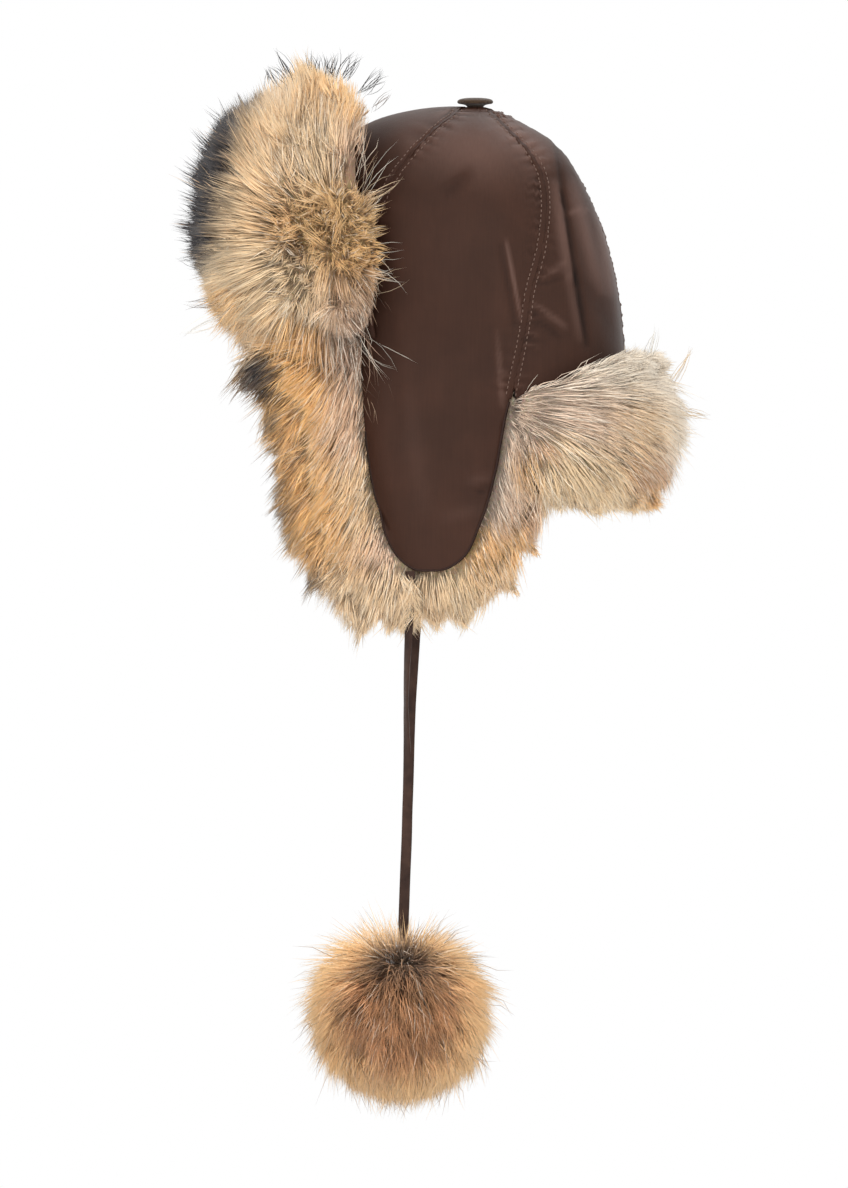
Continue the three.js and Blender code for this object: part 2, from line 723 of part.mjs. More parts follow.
// Fur of an ear flap: a lining on the inner side that bulges round the flap's edges.
function earFurRing({ z, frontY, rearY, frontBulge, rearBulge }) {
  const level = Math.max(Math.min(z, -3), -166);
  const frontNylon = readTable(frontEdge, "z", "y", level);
  const rearNylon = readTable(rearEdge, "z", "y", level);
  const under = wall + gap;
  const frontX = flapX(frontNylon, level) - under;
  const rearX = flapX(rearNylon, level) - under;
  const middleX = flapX((frontNylon + rearNylon) / 2, level) - under;
  const lining = z > -170 ? liningDepth : liningDepth * 0.8;
  const frontRun = frontNylon - frontY;
  const rearRun = rearY - rearNylon;
  const behindNylon = rearRun < 6;
  const underNylon = (share) => {
    const y = THREE.MathUtils.lerp(frontNylon, rearNylon, share);
    return { y, x: flapX(y, level) - under - pelt };
  };
  const plan = [
    { y: frontY, x: frontX - 2 },
    { y: frontY + frontRun * 0.14, x: frontX + frontBulge * 0.72 },
    { y: frontY + frontRun * 0.42, x: frontX + frontBulge },
    { y: frontY + frontRun * 0.78, x: frontX + frontBulge * 0.8 },
    { y: frontNylon - 0.8, x: frontX + wall * 0.4 },
    { y: frontNylon + 4, x: frontX },
    underNylon(0.3),
    underNylon(0.65),
    { y: behindNylon ? rearY - 6 : rearNylon - 2, x: rearX - 0.4 },
    { y: behindNylon ? rearY - 4 : rearNylon + 0.8, x: rearX + (behindNylon ? -1 : wall * 0.4) },
    { y: behindNylon ? rearY - 2 : rearNylon + rearRun * 0.5, x: rearX + (behindNylon ? -2 : rearBulge) },
    {
      y: behindNylon ? rearY - 1 : rearNylon + rearRun * 0.85,
      x: rearX + (behindNylon ? -4 : rearBulge * 0.7),
    },
    { y: rearY, x: rearX - 7 },
    { y: rearY - 12, x: rearX - lining },
    { y: THREE.MathUtils.lerp(frontNylon, rearNylon, 0.5), x: middleX - lining },
    { y: frontNylon - 8, x: frontX - lining },
    { y: frontY + frontRun * 0.2, x: frontX - lining * 0.8 },
  ];
  return plan.map((p) => new THREE.Vector3(p.x, p.y, z));
}

function earFur() {
  const backing = loftSolid(earFurTable.map(earFurRing), (p) => new THREE.Vector2(p.x, p.y));
  const locks = [];
  const addLock = (y, x, z, direction, length, width, i, j) => {
    const uneven = new THREE.Vector3(0.1 * wobble(i, j), 0.12 * wobble(j, i), 0);
    const bend = new THREE.Vector3(0, 0, -0.2);
    const root = new THREE.Vector3(x, y, z);
    locks.push(furLock(root, direction.clone().add(uneven), bend, length + 3 * wobble(i, j + 3), width));
  };
  const downForward = new THREE.Vector3(0.1, -0.75, -0.62);
  const downBack = new THREE.Vector3(0.1, 0.66, -0.7);
  const down = new THREE.Vector3(0, 0, -1);
  const frontLevels = [-16, -46, -76, -106, -136, -164];
  frontLevels.forEach((z, i) => {
    const ring = earFurRing(sectionAt(z));
    addLock(ring[0].y + 9, ring[0].x - 1, z, downForward, 24, lockWidth, i, 1);
    addLock(ring[2].y, ring[2].x - 5, z, new THREE.Vector3(0.28, -0.5, -0.85), 25, 30, i, 2);
  });
  [-76, -106, -136, -164].forEach((z, i) => {
    const ring = earFurRing(sectionAt(z));
    addLock(ring[12].y - 8, ring[12].x + 2, z, downBack, 25, 28, i, 4);
  });
  [-90, -72, -38, -18].forEach((y, i) => {
    addLock(y, tieX - 8, -184, down, 31 - 1.4 * Math.abs(i - 1.5), 28, i, 6);
  });
  return { backing, locks };
}

function sectionAt(z) {
  const read = (name) => readTable(earFurTable, "z", name, z);
  return {
    z,
    frontY: read("frontY"),
    rearY: read("rearY"),
    frontBulge: read("frontBulge"),
    rearBulge: read("rearBulge"),
  };
}

// Tie: a flat folded strip that hangs from the tip of the ear flap. Grown makes a channel for it.
function tieSolid(route, x, grown) {
  const path = new THREE.CatmullRomCurve3(route.map((p) => new THREE.Vector3(x, p.y, p.z)));
  const section = new THREE.Shape(
    Array.from({ length: 8 }, (_, i) => {
      const turn = ((i + 0.5) * Math.PI) / 4;
      return new THREE.Vector2(
        (Math.cos(turn) / Math.cos(Math.PI / 8)) * (tieThickness / 2 + grown),
        (Math.sin(turn) / Math.cos(Math.PI / 8)) * (tieWidth / 2 + grown),
      );
    }),
  );
  return solidOf(new THREE.ExtrudeGeometry(section, { steps: 16, bevelEnabled: false, extrudePath: path }));
}

// Small flattened knot of thread that holds the pompom to the tie.
function loopGeometry(x, y, topZ) {
  const profile = [
    { radius: 0, z: 0 },
    { radius: 3.2, z: 0 },
    { radius: loopHalfWidth, z: -1.8 },
    { radius: loopHalfWidth - 1, z: -3.8 },
    { radius: 2.6, z: -loopLength },
    { radius: 0, z: -loopLength },
  ].reverse();
  const geometry = new THREE.LatheGeometry(
    profile.map((p) => new THREE.Vector2(p.radius, p.z)),
    10,
  );
  geometry.rotateX(Math.PI / 2);
  geometry.scale(loopThickness / (2 * loopHalfWidth), 1, 1);
  geometry.translate(x, y, topZ);
  return geometry;
}

// Pompom: a fur ball whose locks part round the tie at the top and lean down.
function pompomSolid(x, y, topZ) {
  const centre = new THREE.Vector3(x, y - 2, topZ - pompomCore);
  const ball = new THREE.IcosahedronGeometry(pompomCore, 1).scale(pompomWidth, pompomWidth, 1);
  const backing = solidOf(ball.translate(centre.x, centre.y, centre.z));
  const locks = [];
  const rings = [
    { tilt: 36, count: 4, length: 1.14 },
    { tilt: 68, count: 6, length: 1.04 },
    { tilt: 103, count: 7, length: 1.02 },
    { tilt: 140, count: 5, length: 1 },
    { tilt: 178, count: 1, length: 0.98 },
  ];
  rings.forEach((ring, i) => {
    for (let j = 0; j < ring.count; j += 1) {
      const tilt = THREE.MathUtils.degToRad(ring.tilt + 5 * wobble(i, j));
      const turn = ((j + (i % 2) / 2) / ring.count) * 2 * Math.PI;
      const out = new THREE.Vector3(
        Math.sin(tilt) * Math.cos(turn),
        Math.sin(tilt) * Math.sin(turn),
        Math.cos(tilt),
      );
      const root = centre.clone().addScaledVector(out, pompomCore - 7);
      const length = (pompomReach - pompomCore + 7) * ring.length + 2 * wobble(j, i);
      const direction = out.add(new THREE.Vector3(0, 0, -0.08));
      locks.push(furLock(root, direction, new THREE.Vector3(0, 0, -0.06), length, lockWidth + 2));
    }
  });
  return joined(backing, locks);
}

const colours = {
  nylon: { color: 0x46302a, roughness: 0.5, metalness: 0 },
  button: { color: 0x3a2c1e, roughness: 0.8, metalness: 0 },
  fur: { color: 0xb9905c, roughness: 0.9, metalness: 0 },
  tie: { color: 0x3b2823, roughness: 0.6, metalness: 0 },
  thread: { color: 0x8d8680, roughness: 0.7, metalness: 0 },
};
const finish = Object.fromEntries(
  Object.entries(colours).map(([name, values]) => [name, new THREE.MeshStandardMaterial(values)]),
);

function geometryOf(solid) {
  const made = solid.getMesh();
  return new THREE.BufferGeometry()
    .setAttribute("position", new THREE.BufferAttribute(new Float32Array(made.vertProperties), 3))
    .setIndex(new THREE.BufferAttribute(new Uint32Array(made.triVerts), 1));
}

const hat = new THREE.Group();
function place(name, shape, material) {
  const geometry = shape.isBufferGeometry ? shape : geometryOf(shape);
  const mesh = new THREE.Mesh(geometry, finish[material]);
  mesh.name = name;
  hat.add(mesh);
}

place("front_panel", frontPanel(), "nylon");
place("side_panel_left", sidePanel(false), "nylon");
place("side_panel_right", sidePanel(true), "nylon");
place("back_panel_left", backPanel(false), "nylon");
place("back_panel_right", backPanel(true), "nylon");
place("crown_button", buttonGeometry(), "button");
place("peak_panel", peakCloth(), "nylon");
place("neck_panel", neckCloth(), "nylon");

// Shell pieces, a little larger than they are, that keep the fur clear of the cloth.
const clothCutter = [
  frontPanel(gap),
  sidePanel(false, gap),
  sidePanel(true, gap),
  backPanel(false, gap),
  backPanel(true, gap),
  peakCloth(gap),
  neckCloth(gap),
].reduce((whole, solid) => whole.add(solid));
const belowPeak = boxSolid(-300, 300, -300, 0, -100, furSplitZ + gap);
const earSplit = { from: { y: 27, z: -34 }, to: { y: 50, z: -126 } };

const peak = peakFur();
const peakWhole = largestBody(joined(peak.backing, peak.locks).subtract(belowPeak));
place("peak_fur", peakWhole, "fur");

const neck = neckFur();
const neckBehindEar = behindPlane(earSplit.to, earSplit.from, -gap);
const neckWhole = joined(neck.backing, neck.locks).subtract(neckCloth(gap)).subtract(neckBehindEar);
place("neck_fur", largestBody(neckWhole), "fur");

const ear = earFur();
const aboveEar = boxSolid(-300, 300, -300, 300, furSplitZ - gap, 200);
const earBeforeNeck = behindPlane(earSplit.from, earSplit.to, gap);
const earWhole = largestBody(
  joined(ear.backing, ear.locks).subtract(clothCutter).subtract(aboveEar).subtract(earBeforeNeck),
);

for (const [side, sign, route] of [
  ["left", 1, leftTieRoute],
  ["right", -1, rightTieRoute],
]) {
  const end = route[route.length - 1];
  const x = sign * tieX;
  const tieChannel = tieSolid(route, x, pelt);
  const earShape = sign > 0 ? earWhole : earWhole.mirror([1, 0, 0]);
  place("ear_flap_fur_" + side, largestBody(earShape.subtract(tieChannel)), "fur");
  place("tie_" + side, tieSolid(route, x, 0), "tie");
  place("pompom_loop_" + side, loopGeometry(x, end.y, end.z - gap), "thread");
  place("pompom_" + side, pompomSolid(x, end.y, end.z - loopLength - 2 * gap), "fur");
}

export default hat;
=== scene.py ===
import math

import bpy
import numpy as np
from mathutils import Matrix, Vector
from mathutils.bvhtree import BVHTree
from mathutils.kdtree import KDTree


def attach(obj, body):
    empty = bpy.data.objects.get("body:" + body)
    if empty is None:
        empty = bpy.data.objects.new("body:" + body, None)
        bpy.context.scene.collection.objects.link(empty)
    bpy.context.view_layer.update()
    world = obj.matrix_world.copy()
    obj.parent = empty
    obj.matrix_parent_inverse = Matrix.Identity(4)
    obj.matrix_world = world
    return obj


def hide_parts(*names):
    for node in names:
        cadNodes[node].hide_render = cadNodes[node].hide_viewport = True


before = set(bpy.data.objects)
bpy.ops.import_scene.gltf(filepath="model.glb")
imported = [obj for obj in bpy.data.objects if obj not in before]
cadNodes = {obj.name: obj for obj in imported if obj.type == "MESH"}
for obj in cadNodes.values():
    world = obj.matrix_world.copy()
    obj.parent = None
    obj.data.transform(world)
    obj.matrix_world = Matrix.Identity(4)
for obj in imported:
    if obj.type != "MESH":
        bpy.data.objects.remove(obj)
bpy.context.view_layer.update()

# Tables are in millimetres in side view: y towards the back of the hat, z up.
mm = 0.001


def table(columns, *rows):
    return [dict(zip(columns.split(), row)) for row in rows]


def column(rows, name):
    return np.array([row[name] for row in rows], float)


viewSetup = {"distance": 4, "frameHeight": 0.8791, "centreY": -0.0459, "centreZ": -0.1843}
studio = {
    "lamps": table(
        "place size watts",
        ((2.2, -1.5, 1.7), 1.4, 42), ((1.9, 1.9, 0.4), 1.8, 14),
        ((-1.4, 0.4, 2.0), 1.6, 24), ((2.4, -0.2, -0.45), 1.4, 16),
    ),
    "worldStrength": 1.0, "floorLevel": -0.66, "floorSize": 9, "floorGrey": 0.86, "floorRoughness": 0.85,
}


def selectOnly(piece):
    bpy.ops.object.select_all(action="DESELECT")
    piece.select_set(True)
    bpy.context.view_layer.objects.active = piece


def applyModifier(piece, kind, **values):
    selectOnly(piece)
    bpy.ops.object.modifier_add(type=kind)
    modifier = piece.modifiers[-1]
    for name, value in values.items():
        setattr(modifier, name, value)
    bpy.ops.object.modifier_apply(modifier=modifier.name)


def subdivide(piece, levels):
    applyModifier(piece, "SUBSURF", levels=levels, render_levels=levels)


# Adds one of Blender's own shapes, its object at the origin.
def addShape(operator, name, **values):
    bpy.ops.object.select_all(action="DESELECT")
    operator(**values)
    piece = bpy.context.object
    piece.name = name
    bpy.ops.object.transform_apply(location=True, rotation=True, scale=True)
    return piece


def shadeSmooth(piece, degrees=None):
    selectOnly(piece)
    if degrees is None:
        bpy.ops.object.shade_smooth()
    else:
        bpy.ops.object.shade_smooth_by_angle(angle=math.radians(degrees))


def linearColour(rgb):
    values = np.array(rgb, float) / 255
    return np.where(values <= 0.04045, values / 12.92, ((values + 0.055) / 1.055) ** 2.4)


def newMaterial(name, **values):
    material = bpy.data.materials.new(name)
    material.use_nodes = True
    principled = material.node_tree.nodes["Principled BSDF"]
    for socket, value in values.items():
        principled.inputs[socket].default_value = value
    return material, principled


# Values are set on sockets of that name, or else on the node itself.
def addNode(tree, kind, **values):
    node = tree.nodes.new("ShaderNode" + kind)
    for name, value in values.items():
        if name in node.inputs:
            node.inputs[name].default_value = value
        else:
            setattr(node, name, value)
    return node


def joinUp(tree, *links):
    for source, out, target, into in links:
        tree.links.new(source.outputs[out], target.inputs[into])


def setUpStudio():
    centre = (0, viewSetup["centreY"], viewSetup["centreZ"])
    bpy.ops.object.select_all(action="DESELECT")
    bpy.ops.object.camera_add(
        location=(viewSetup["distance"], *centre[1:]), rotation=(math.pi / 2, 0, math.pi / 2)
    )
    scene, camera = bpy.context.scene, bpy.context.object
    camera.data.type = "ORTHO"
    camera.data.ortho_scale = viewSetup["frameHeight"]
    scene.camera = camera
    for lamp in studio["lamps"]:
        turn = (Vector(centre) - Vector(lamp["place"])).to_track_quat("-Z", "Y").to_euler()
        bpy.ops.object.light_add(type="AREA", location=lamp["place"], rotation=turn)
        bpy.context.object.data.size = lamp["size"]
        bpy.context.object.data.energy = lamp["watts"]
    level = (0, 0, studio["floorLevel"])
    floor = addShape(bpy.ops.mesh.primitive_plane_add, "floor", size=studio["floorSize"], location=level)
    grey = studio["floorGrey"]
    look = {"Base Color": (grey, grey, grey, 1), "Roughness": studio["floorRoughness"]}
    floor.data.materials.append(newMaterial("paleFloor", **look)[0])
    scene.view_settings.view_transform = "Standard"
    if scene.world is None:
        scene.world = bpy.data.worlds.new("studioWorld")
    scene.world.use_nodes = True
    tree = scene.world.node_tree
    tree.nodes.clear()
    seen = addNode(tree, "LightPath")
    glow = addNode(tree, "Background", Color=(1, 1, 1, 1), Strength=studio["worldStrength"])
    white = addNode(tree, "Background", Color=(1, 1, 1, 1))
    mix, out = addNode(tree, "MixShader"), addNode(tree, "OutputWorld")
    joinUp(
        tree, (seen, "Is Camera Ray", mix, "Fac"), (glow, "Background", mix, 1),
        (white, "Background", mix, 2), (mix, "Shader", out, "Surface"),
    )


setUpStudio()
print("studio ready")

# Each cloth's ground, its lighter mottled patches, its painted highlight colour for lit folds, its finish, and
# how fine and deep its weave is.
clothLooks = table(
    "name base light ridge roughness sheen thread mottle threadDepth mottleDepth",
    ("shellSatin", (52, 33, 25), (60, 38, 29), (112, 86, 77), 0.42, 0.0, 1500, 22, 0.00006, 0.0016),
    ("liningSatin", (42, 28, 24), (52, 37, 31), (70, 52, 44), 0.45, 0.0, 1500, 30, 0.00006, 0.001),
    ("tieSatin", (46, 32, 27), (64, 46, 38), (80, 60, 52), 0.48, 0.1, 1400, 90, 0.00008, 0.0006),
    ("buttonTweed", (44, 32, 25), (84, 66, 50), (90, 70, 56), 0.8, 0.2, 560, 900, 0.0004, 0.0003),
)
clothFinish = {
    "specular": 0.09, "sheenRoughness": 0.4, "rampFrom": 0.35, "rampTo": 0.68, "slubFrom": 0.88,
    "slubTo": 1.12, "threadStrength": 0.5, "mottleStrength": 0.6,
}
weaveSetup = {"distortion": 1.2, "mottleDetail": 4.0, "mottleRoughness": 0.55, "slubScale": (300, 900, 35)}


# Fine crossing threads, a slow mottling and slubs, on object coordinates.
def makeWeaveGroup():
    group = bpy.data.node_groups.new("clothWeave", "ShaderNodeTree")
    for name in ("Thread Scale", "Mottle Scale"):
        group.interface.new_socket(name, in_out="INPUT", socket_type="NodeSocketFloat")
    for name in ("Thread", "Mottle", "Slub"):
        group.interface.new_socket(name, in_out="OUTPUT", socket_type="NodeSocketFloat")
    given, result = group.nodes.new("NodeGroupInput"), group.nodes.new("NodeGroupOutput")
    places = addNode(group, "TexCoord")
    both = addNode(group, "Math", operation="ADD")
    for number, way in enumerate("YZ"):
        wave = addNode(group, "TexWave", bands_direction=way, Distortion=weaveSetup["distortion"])
        joinUp(
            group, (places, "Object", wave, "Vector"), (given, "Thread Scale", wave, "Scale"),
            (wave, "Fac", both, number),
        )
    mottle = addNode(
        group, "TexNoise", Detail=weaveSetup["mottleDetail"], Roughness=weaveSetup["mottleRoughness"]
    )
    stretched = addNode(group, "VectorMath", operation="MULTIPLY")
    stretched.inputs[1].default_value = weaveSetup["slubScale"]
    slub = addNode(group, "TexNoise", Scale=1.0, Detail=2.0)
    joinUp(
        group, (places, "Object", mottle, "Vector"), (given, "Mottle Scale", mottle, "Scale"),
        (both, 0, result, "Thread"), (mottle, "Fac", result, "Mottle"), (places, "Object", stretched, 0),
        (stretched, 0, slub, "Vector"), (slub, "Fac", result, "Slub"),
    )
    return group


weaveGroup = makeWeaveGroup()


def colourRamp(tree, colours, stops=(0, 1)):
    ramp = addNode(tree, "ValToRGB")
    for element, stop, colour in zip(ramp.color_ramp.elements, stops, colours):
        element.position = stop
        element.color = (*colour, 1)
    return ramp


def clothMaterial(look):
    material, principled = newMaterial(look["name"], **{
        "Roughness": look["roughness"], "Specular IOR Level": clothFinish["specular"],
        "Sheen Weight": look["sheen"], "Sheen Roughness": clothFinish["sheenRoughness"],
    })
    tree = material.node_tree
    scales = {"Thread Scale": look["thread"], "Mottle Scale": look["mottle"]}
    weave = addNode(tree, "Group", node_tree=weaveGroup, **scales)
    colours = colourRamp(
        tree, [linearColour(look["base"]), linearColour(look["light"])],
        (clothFinish["rampFrom"], clothFinish["rampTo"]),
    )
    # the folds' painted shade darkens the cloth and their painted highlight mixes in the highlight colour,
    # through the pieces' own attribute; slubs streak it
    paintedFoldShade = addNode(tree, "Attribute", attribute_name="paintedFoldShade")
    streak = addNode(tree, "MapRange", **{"To Min": clothFinish["slubFrom"], "To Max": clothFinish["slubTo"]})
    paintedValleyShade = addNode(tree, "Math", operation="MINIMUM")
    ridge = addNode(tree, "Math", operation="MAXIMUM", use_clamp=True)
    paintedValleyShade.inputs[1].default_value = ridge.inputs[1].default_value = 0
    shade = addNode(tree, "Math", operation="ADD")
    lit = addNode(tree, "Mix", data_type="RGBA")
    lit.inputs[7].default_value = (*linearColour(look["ridge"]), 1)
    shaded = addNode(tree, "VectorMath", operation="SCALE")
    threads = addNode(
        tree, "Bump", Strength=clothFinish["threadStrength"], Distance=look["threadDepth"]
    )
    creases = addNode(
        tree, "Bump", Strength=clothFinish["mottleStrength"], Distance=look["mottleDepth"]
    )
    joinUp(
        tree, (weave, "Mottle", colours, "Fac"), (weave, "Slub", streak, "Value"), (paintedFoldShade, "Fac", paintedValleyShade, 0),
        (paintedValleyShade, 0, shade, 0), (streak, "Result", shade, 1), (paintedFoldShade, "Fac", ridge, 0), (ridge, 0, lit, 0),
        (colours, "Color", lit, 6), (lit, 2, shaded, 0), (shade, 0, shaded, "Scale"),
        (shaded, 0, principled, "Base Color"), (weave, "Thread", threads, "Height"),
        (weave, "Mottle", creases, "Height"), (threads, "Normal", creases, "Normal"),
        (creases, "Normal", principled, "Normal"),
    )
    return material


shellSatin, liningSatin, tieSatin, buttonTweed = [clothMaterial(look) for look in clothLooks]
furLooks = {
    "hair": {"Roughness": 0.62, "Specular IOR Level": 0.25, "Sheen Weight": 0.1},
    "underfur": {"Roughness": 0.9, "Specular IOR Level": 0.1},
    "tufts": {"Scale": 380.0, "Detail": 5.0, "Roughness": 0.7}, "tuftShade": 0.6,
    "bump": {"Strength": 0.9, "Distance": 0.003},
}


# Hair takes its colour from the strands' own attribute.
def hairMaterial():
    material, principled = newMaterial("furHair", **furLooks["hair"])
    tree = material.node_tree
    joinUp(tree, (addNode(tree, "Attribute", attribute_name="coat"), "Color", principled, "Base Color"))
    return material


def underfurMaterial():
    material, principled = newMaterial("underfur", **furLooks["underfur"])
    tree = material.node_tree
    coat = addNode(tree, "Attribute", attribute_name="coat")
    places, tufts = addNode(tree, "TexCoord"), addNode(tree, "TexNoise", **furLooks["tufts"])
    # noise tufts multiply the coat colour darker: painted shade between the tufts, with a bump to match
    dark = addNode(tree, "Mix", data_type="RGBA", blend_type="MULTIPLY")
    dark.inputs[0].default_value = furLooks["tuftShade"]
    bump = addNode(tree, "Bump", **furLooks["bump"])
    joinUp(
        tree, (places, "Object", tufts, "Vector"), (coat, "Color", dark, 6), (tufts, "Color", dark, 7),
        (dark, 2, principled, "Base Color"), (tufts, "Fac", bump, "Height"),
        (bump, "Normal", principled, "Normal"),
    )
    return material


threadLook = {"twist": 2400.0, "detail": 2.0, "dark": 0.6, "light": 1.3, "roughness": 0.6}


def threadMaterial(name, rgb):
    material, principled = newMaterial(name, Roughness=threadLook["roughness"])
    tree = material.node_tree
    places = addNode(tree, "TexCoord")
    twist = addNode(tree, "TexNoise", Scale=threadLook["twist"], Detail=threadLook["detail"])
    colours = colourRamp(tree, [linearColour(rgb) * threadLook[shade] for shade in ("dark", "light")])
    joinUp(
        tree, (places, "Object", twist, "Vector"), (twist, "Fac", colours, "Fac"),
        (colours, "Color", principled, "Base Color"),
    )
    return material


furHair, underfur = hairMaterial(), underfurMaterial()
stitchThread = threadMaterial("stitchThread", (100, 76, 64))
loopThread = threadMaterial("loopThread", (150, 142, 136))
print("materials ready")


def readVectors(items, name):
    values = np.empty(len(items) * 3, np.float32)
    items.foreach_get(name, values)
    return values.reshape(-1, 3).astype(float)


def movePoints(mesh, places):
    mesh.vertices.foreach_set("co", places.astype(np.float32).ravel())


# How far each vector goes along the other.
def along(vectors, others):
    return np.einsum("ij,ij->i", vectors, others)


def unit(vectors):
    return vectors / np.maximum(np.linalg.norm(vectors, axis=1, keepdims=True), 1e-9)


# A merged copy of a CAD solid's skin, in quads where they pair up, to be shaped further.
def copyNode(node, name):
    piece = bpy.data.objects.new(name, cadNodes[node].data.copy())
    bpy.context.scene.collection.objects.link(piece)
    piece.data.materials.clear()
    selectOnly(piece)
    bpy.ops.object.mode_set(mode="EDIT")
    bpy.ops.mesh.select_all(action="SELECT")
    bpy.ops.mesh.remove_doubles(threshold=0.00002)
    bpy.ops.mesh.tris_convert_to_quads(face_threshold=math.radians(40), shape_threshold=math.radians(50))
    bpy.ops.object.mode_set(mode="OBJECT")
    return piece


def creaseSharpEdges(piece, angle, amount):
    selectOnly(piece)
    bpy.ops.object.mode_set(mode="EDIT")
    bpy.ops.mesh.select_mode(type="EDGE")
    bpy.ops.mesh.select_all(action="DESELECT")
    bpy.ops.mesh.edges_select_sharp(sharpness=math.radians(angle))
    bpy.ops.transform.edge_crease(value=amount)
    bpy.ops.mesh.select_mode(type="VERT")
    bpy.ops.object.mode_set(mode="OBJECT")


def facesOutward(piece):
    selectOnly(piece)
    bpy.ops.object.mode_set(mode="EDIT")
    bpy.ops.mesh.select_all(action="SELECT")
    bpy.ops.mesh.normals_make_consistent(inside=False)
    bpy.ops.object.mode_set(mode="OBJECT")


def finishPiece(piece, slot, *replaced):
    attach(piece, "root")
    if replaced:
        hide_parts(*replaced)
    return piece


# Seams of the left side from the button down; the right side mirrors them.
frontSeam = table(
    "x y z",
    (7, -19, 175), (26.5, -25.1, 171.1), (45.2, -39.2, 159.5), (58.6, -53.8, 144.4), (64.7, -67.7, 127.2),
    (67.3, -78, 107.4), (66.5, -84.8, 84.6), (63.7, -89.3, 58.3), (60.5, -92.5, 31), (58.2, -93.1, 3),
)
rearSeam = table(
    "x y z",
    (6, 1, 174), (22.6, 6.4, 169.6), (36.6, 17.6, 158.4), (46.1, 31.9, 143.8), (55, 42, 124.6),
    (66.6, 44, 99), (76.7, 40.7, 70.6), (82.9, 32.9, 41.9), (85.4, 29.6, 18.6), (86.2, 25.8, -2),
    (87.3, 20, -30), (87.6, 17.5, -42),
)
backSeam = table(
    "y z",
    (3, 174), (16, 169), (32, 160), (49, 148), (64, 132), (76, 110), (87, 85), (95, 55), (100, 26), (103, -2),
    (104, -18), (104.5, -29),
)


# A smooth line through the rows' places, in even steps; rows without an x of their own share one.
def smoothPath(rows, side, spacing=0.001, x=0):
    points = np.array([[row.get("x", x) * side, row["y"], row["z"]] for row in rows], float) * mm
    ghost = np.vstack([2 * points[0] - points[1], points, 2 * points[-1] - points[-2]])
    fine = []
    for i in range(1, len(ghost) - 2):
        a, b, c, d = ghost[i - 1 : i + 3]
        bend, twist = 2 * a - 5 * b + 4 * c - d, 3 * b - a - 3 * c + d
        for t in np.linspace(0, 1, 24, endpoint=False):
            fine.append(0.5 * (2 * b + (c - a) * t + bend * t**2 + twist * t**3))
    fine = np.array([*fine, points[-1]])
    run = np.concatenate([[0], np.cumsum(np.linalg.norm(np.diff(fine, axis=0), axis=1))])
    even = np.arange(0, run[-1], spacing)
    return np.stack([np.interp(even, run, fine[:, k]) for k in range(3)], 1)


seamPaths = {
    "front_left": smoothPath(frontSeam, 1), "front_right": smoothPath(frontSeam, -1),
    "rear_left": smoothPath(rearSeam, 1), "rear_right": smoothPath(rearSeam, -1),
    "back": smoothPath(backSeam, 1),
}

# Soft folds of the shell as strokes in side view: height outwards, width across, and shade of the cloth, which
# is painted highlight above zero and painted shade below zero along the folds; strokes with no height paint
# broad light on the top and back and broad shade on the middle.
foldAndShadeStrokes = table(
    "from to width height shade",
    ((-28, 113), (-13, 128), 5.0, -1.2, -0.26), ((-83, -116), (-73, -136), 1.6, -1.3, -0.45),
    ((-6, -109), (3, -106), 1.5, -1.0, -0.4), ((-12, -101), (2, -98), 3.0, 0.7, 0.12),
    ((15, 76), (25.5, 20), 1.6, 0.9, 0.55), ((11, 74), (22, 16), 2.6, -0.9, -0.3),
    ((52, 153), (57.7, 104), 2.0, -1.2, -0.4), ((57, 112), (67.3, 47), 2.0, -1.6, -0.65),
    ((66.5, 54), (75, 0), 2.2, -1.6, -0.65), ((51, 118), (62, 52), 4.5, 1.4, 0.45),
    ((61, 50), (70, 4), 3.0, 1.0, 0.25), ((64, 118), (84, 40), 5.5, 1.1, 0.45),
    ((84, 96), (93, 40), 5.0, 0.0, 0.4), ((80, 42), (96, 4), 6.0, -0.6, -0.2),
    ((59, 96), (74, 100), 1.6, 0.6, 0.4), ((44, 52), (58, 60), 1.8, 0.6, 0.34),
    ((42, 46), (56, 50), 1.6, -0.6, -0.28), ((36, 30), (58, 14), 2.6, 0.9, 0.3),
    ((36, 22), (54, 6), 2.6, -0.8, -0.3), ((-60, -40), (-46, -120), 8.0, 0.7, 0.06),
    ((-74, 30), (-66, -60), 7.0, -0.6, -0.08), ((0, 60), (4, -60), 9.0, -0.4, -0.08),
    ((8, 10), (12, -44), 2.6, 0.6, 0.3), ((-30, -128), (-4, -122), 5.0, 0.6, 0.08),
    ((-40, 150), (24, 142), 22.0, 0.0, 0.42), ((10, 166), (44, 138), 8.0, 0.5, 0.4),
    ((-66, 60), (-20, 96), 26.0, 0.0, -0.1), ((-50, 20), (0, 10), 34.0, 0.0, -0.1),
    ((34, 84), (40, 8), 12.0, 0.0, -0.06),
)


def strokeSum(places, key):
    total = np.zeros(len(places))
    y, z = places[:, 1] / mm, places[:, 2] / mm
    for stroke in foldAndShadeStrokes:
        (fromY, fromZ), (toY, toZ) = stroke["from"], stroke["to"]
        runY, runZ = toY - fromY, toZ - fromZ
        share = np.clip(((y - fromY) * runY + (z - fromZ) * runZ) / (runY**2 + runZ**2), 0, 1)
        away = np.hypot(y - fromY - share * runY, z - fromZ - share * runZ)
        total += stroke[key] * np.exp(-((away / stroke["width"]) ** 2)) * np.sin(np.pi * (0.2 + 0.6 * share))
    return total


def nearestOnPath(places, path, stride=4):
    gap = np.linalg.norm(places[:, None, :] - path[None, ::stride, :], axis=2)
    nearest = gap.argmin(1)
    return gap[np.arange(len(places)), nearest], nearest * stride


cornerSetup = {"y": 19.5, "z": -30, "near": 4}


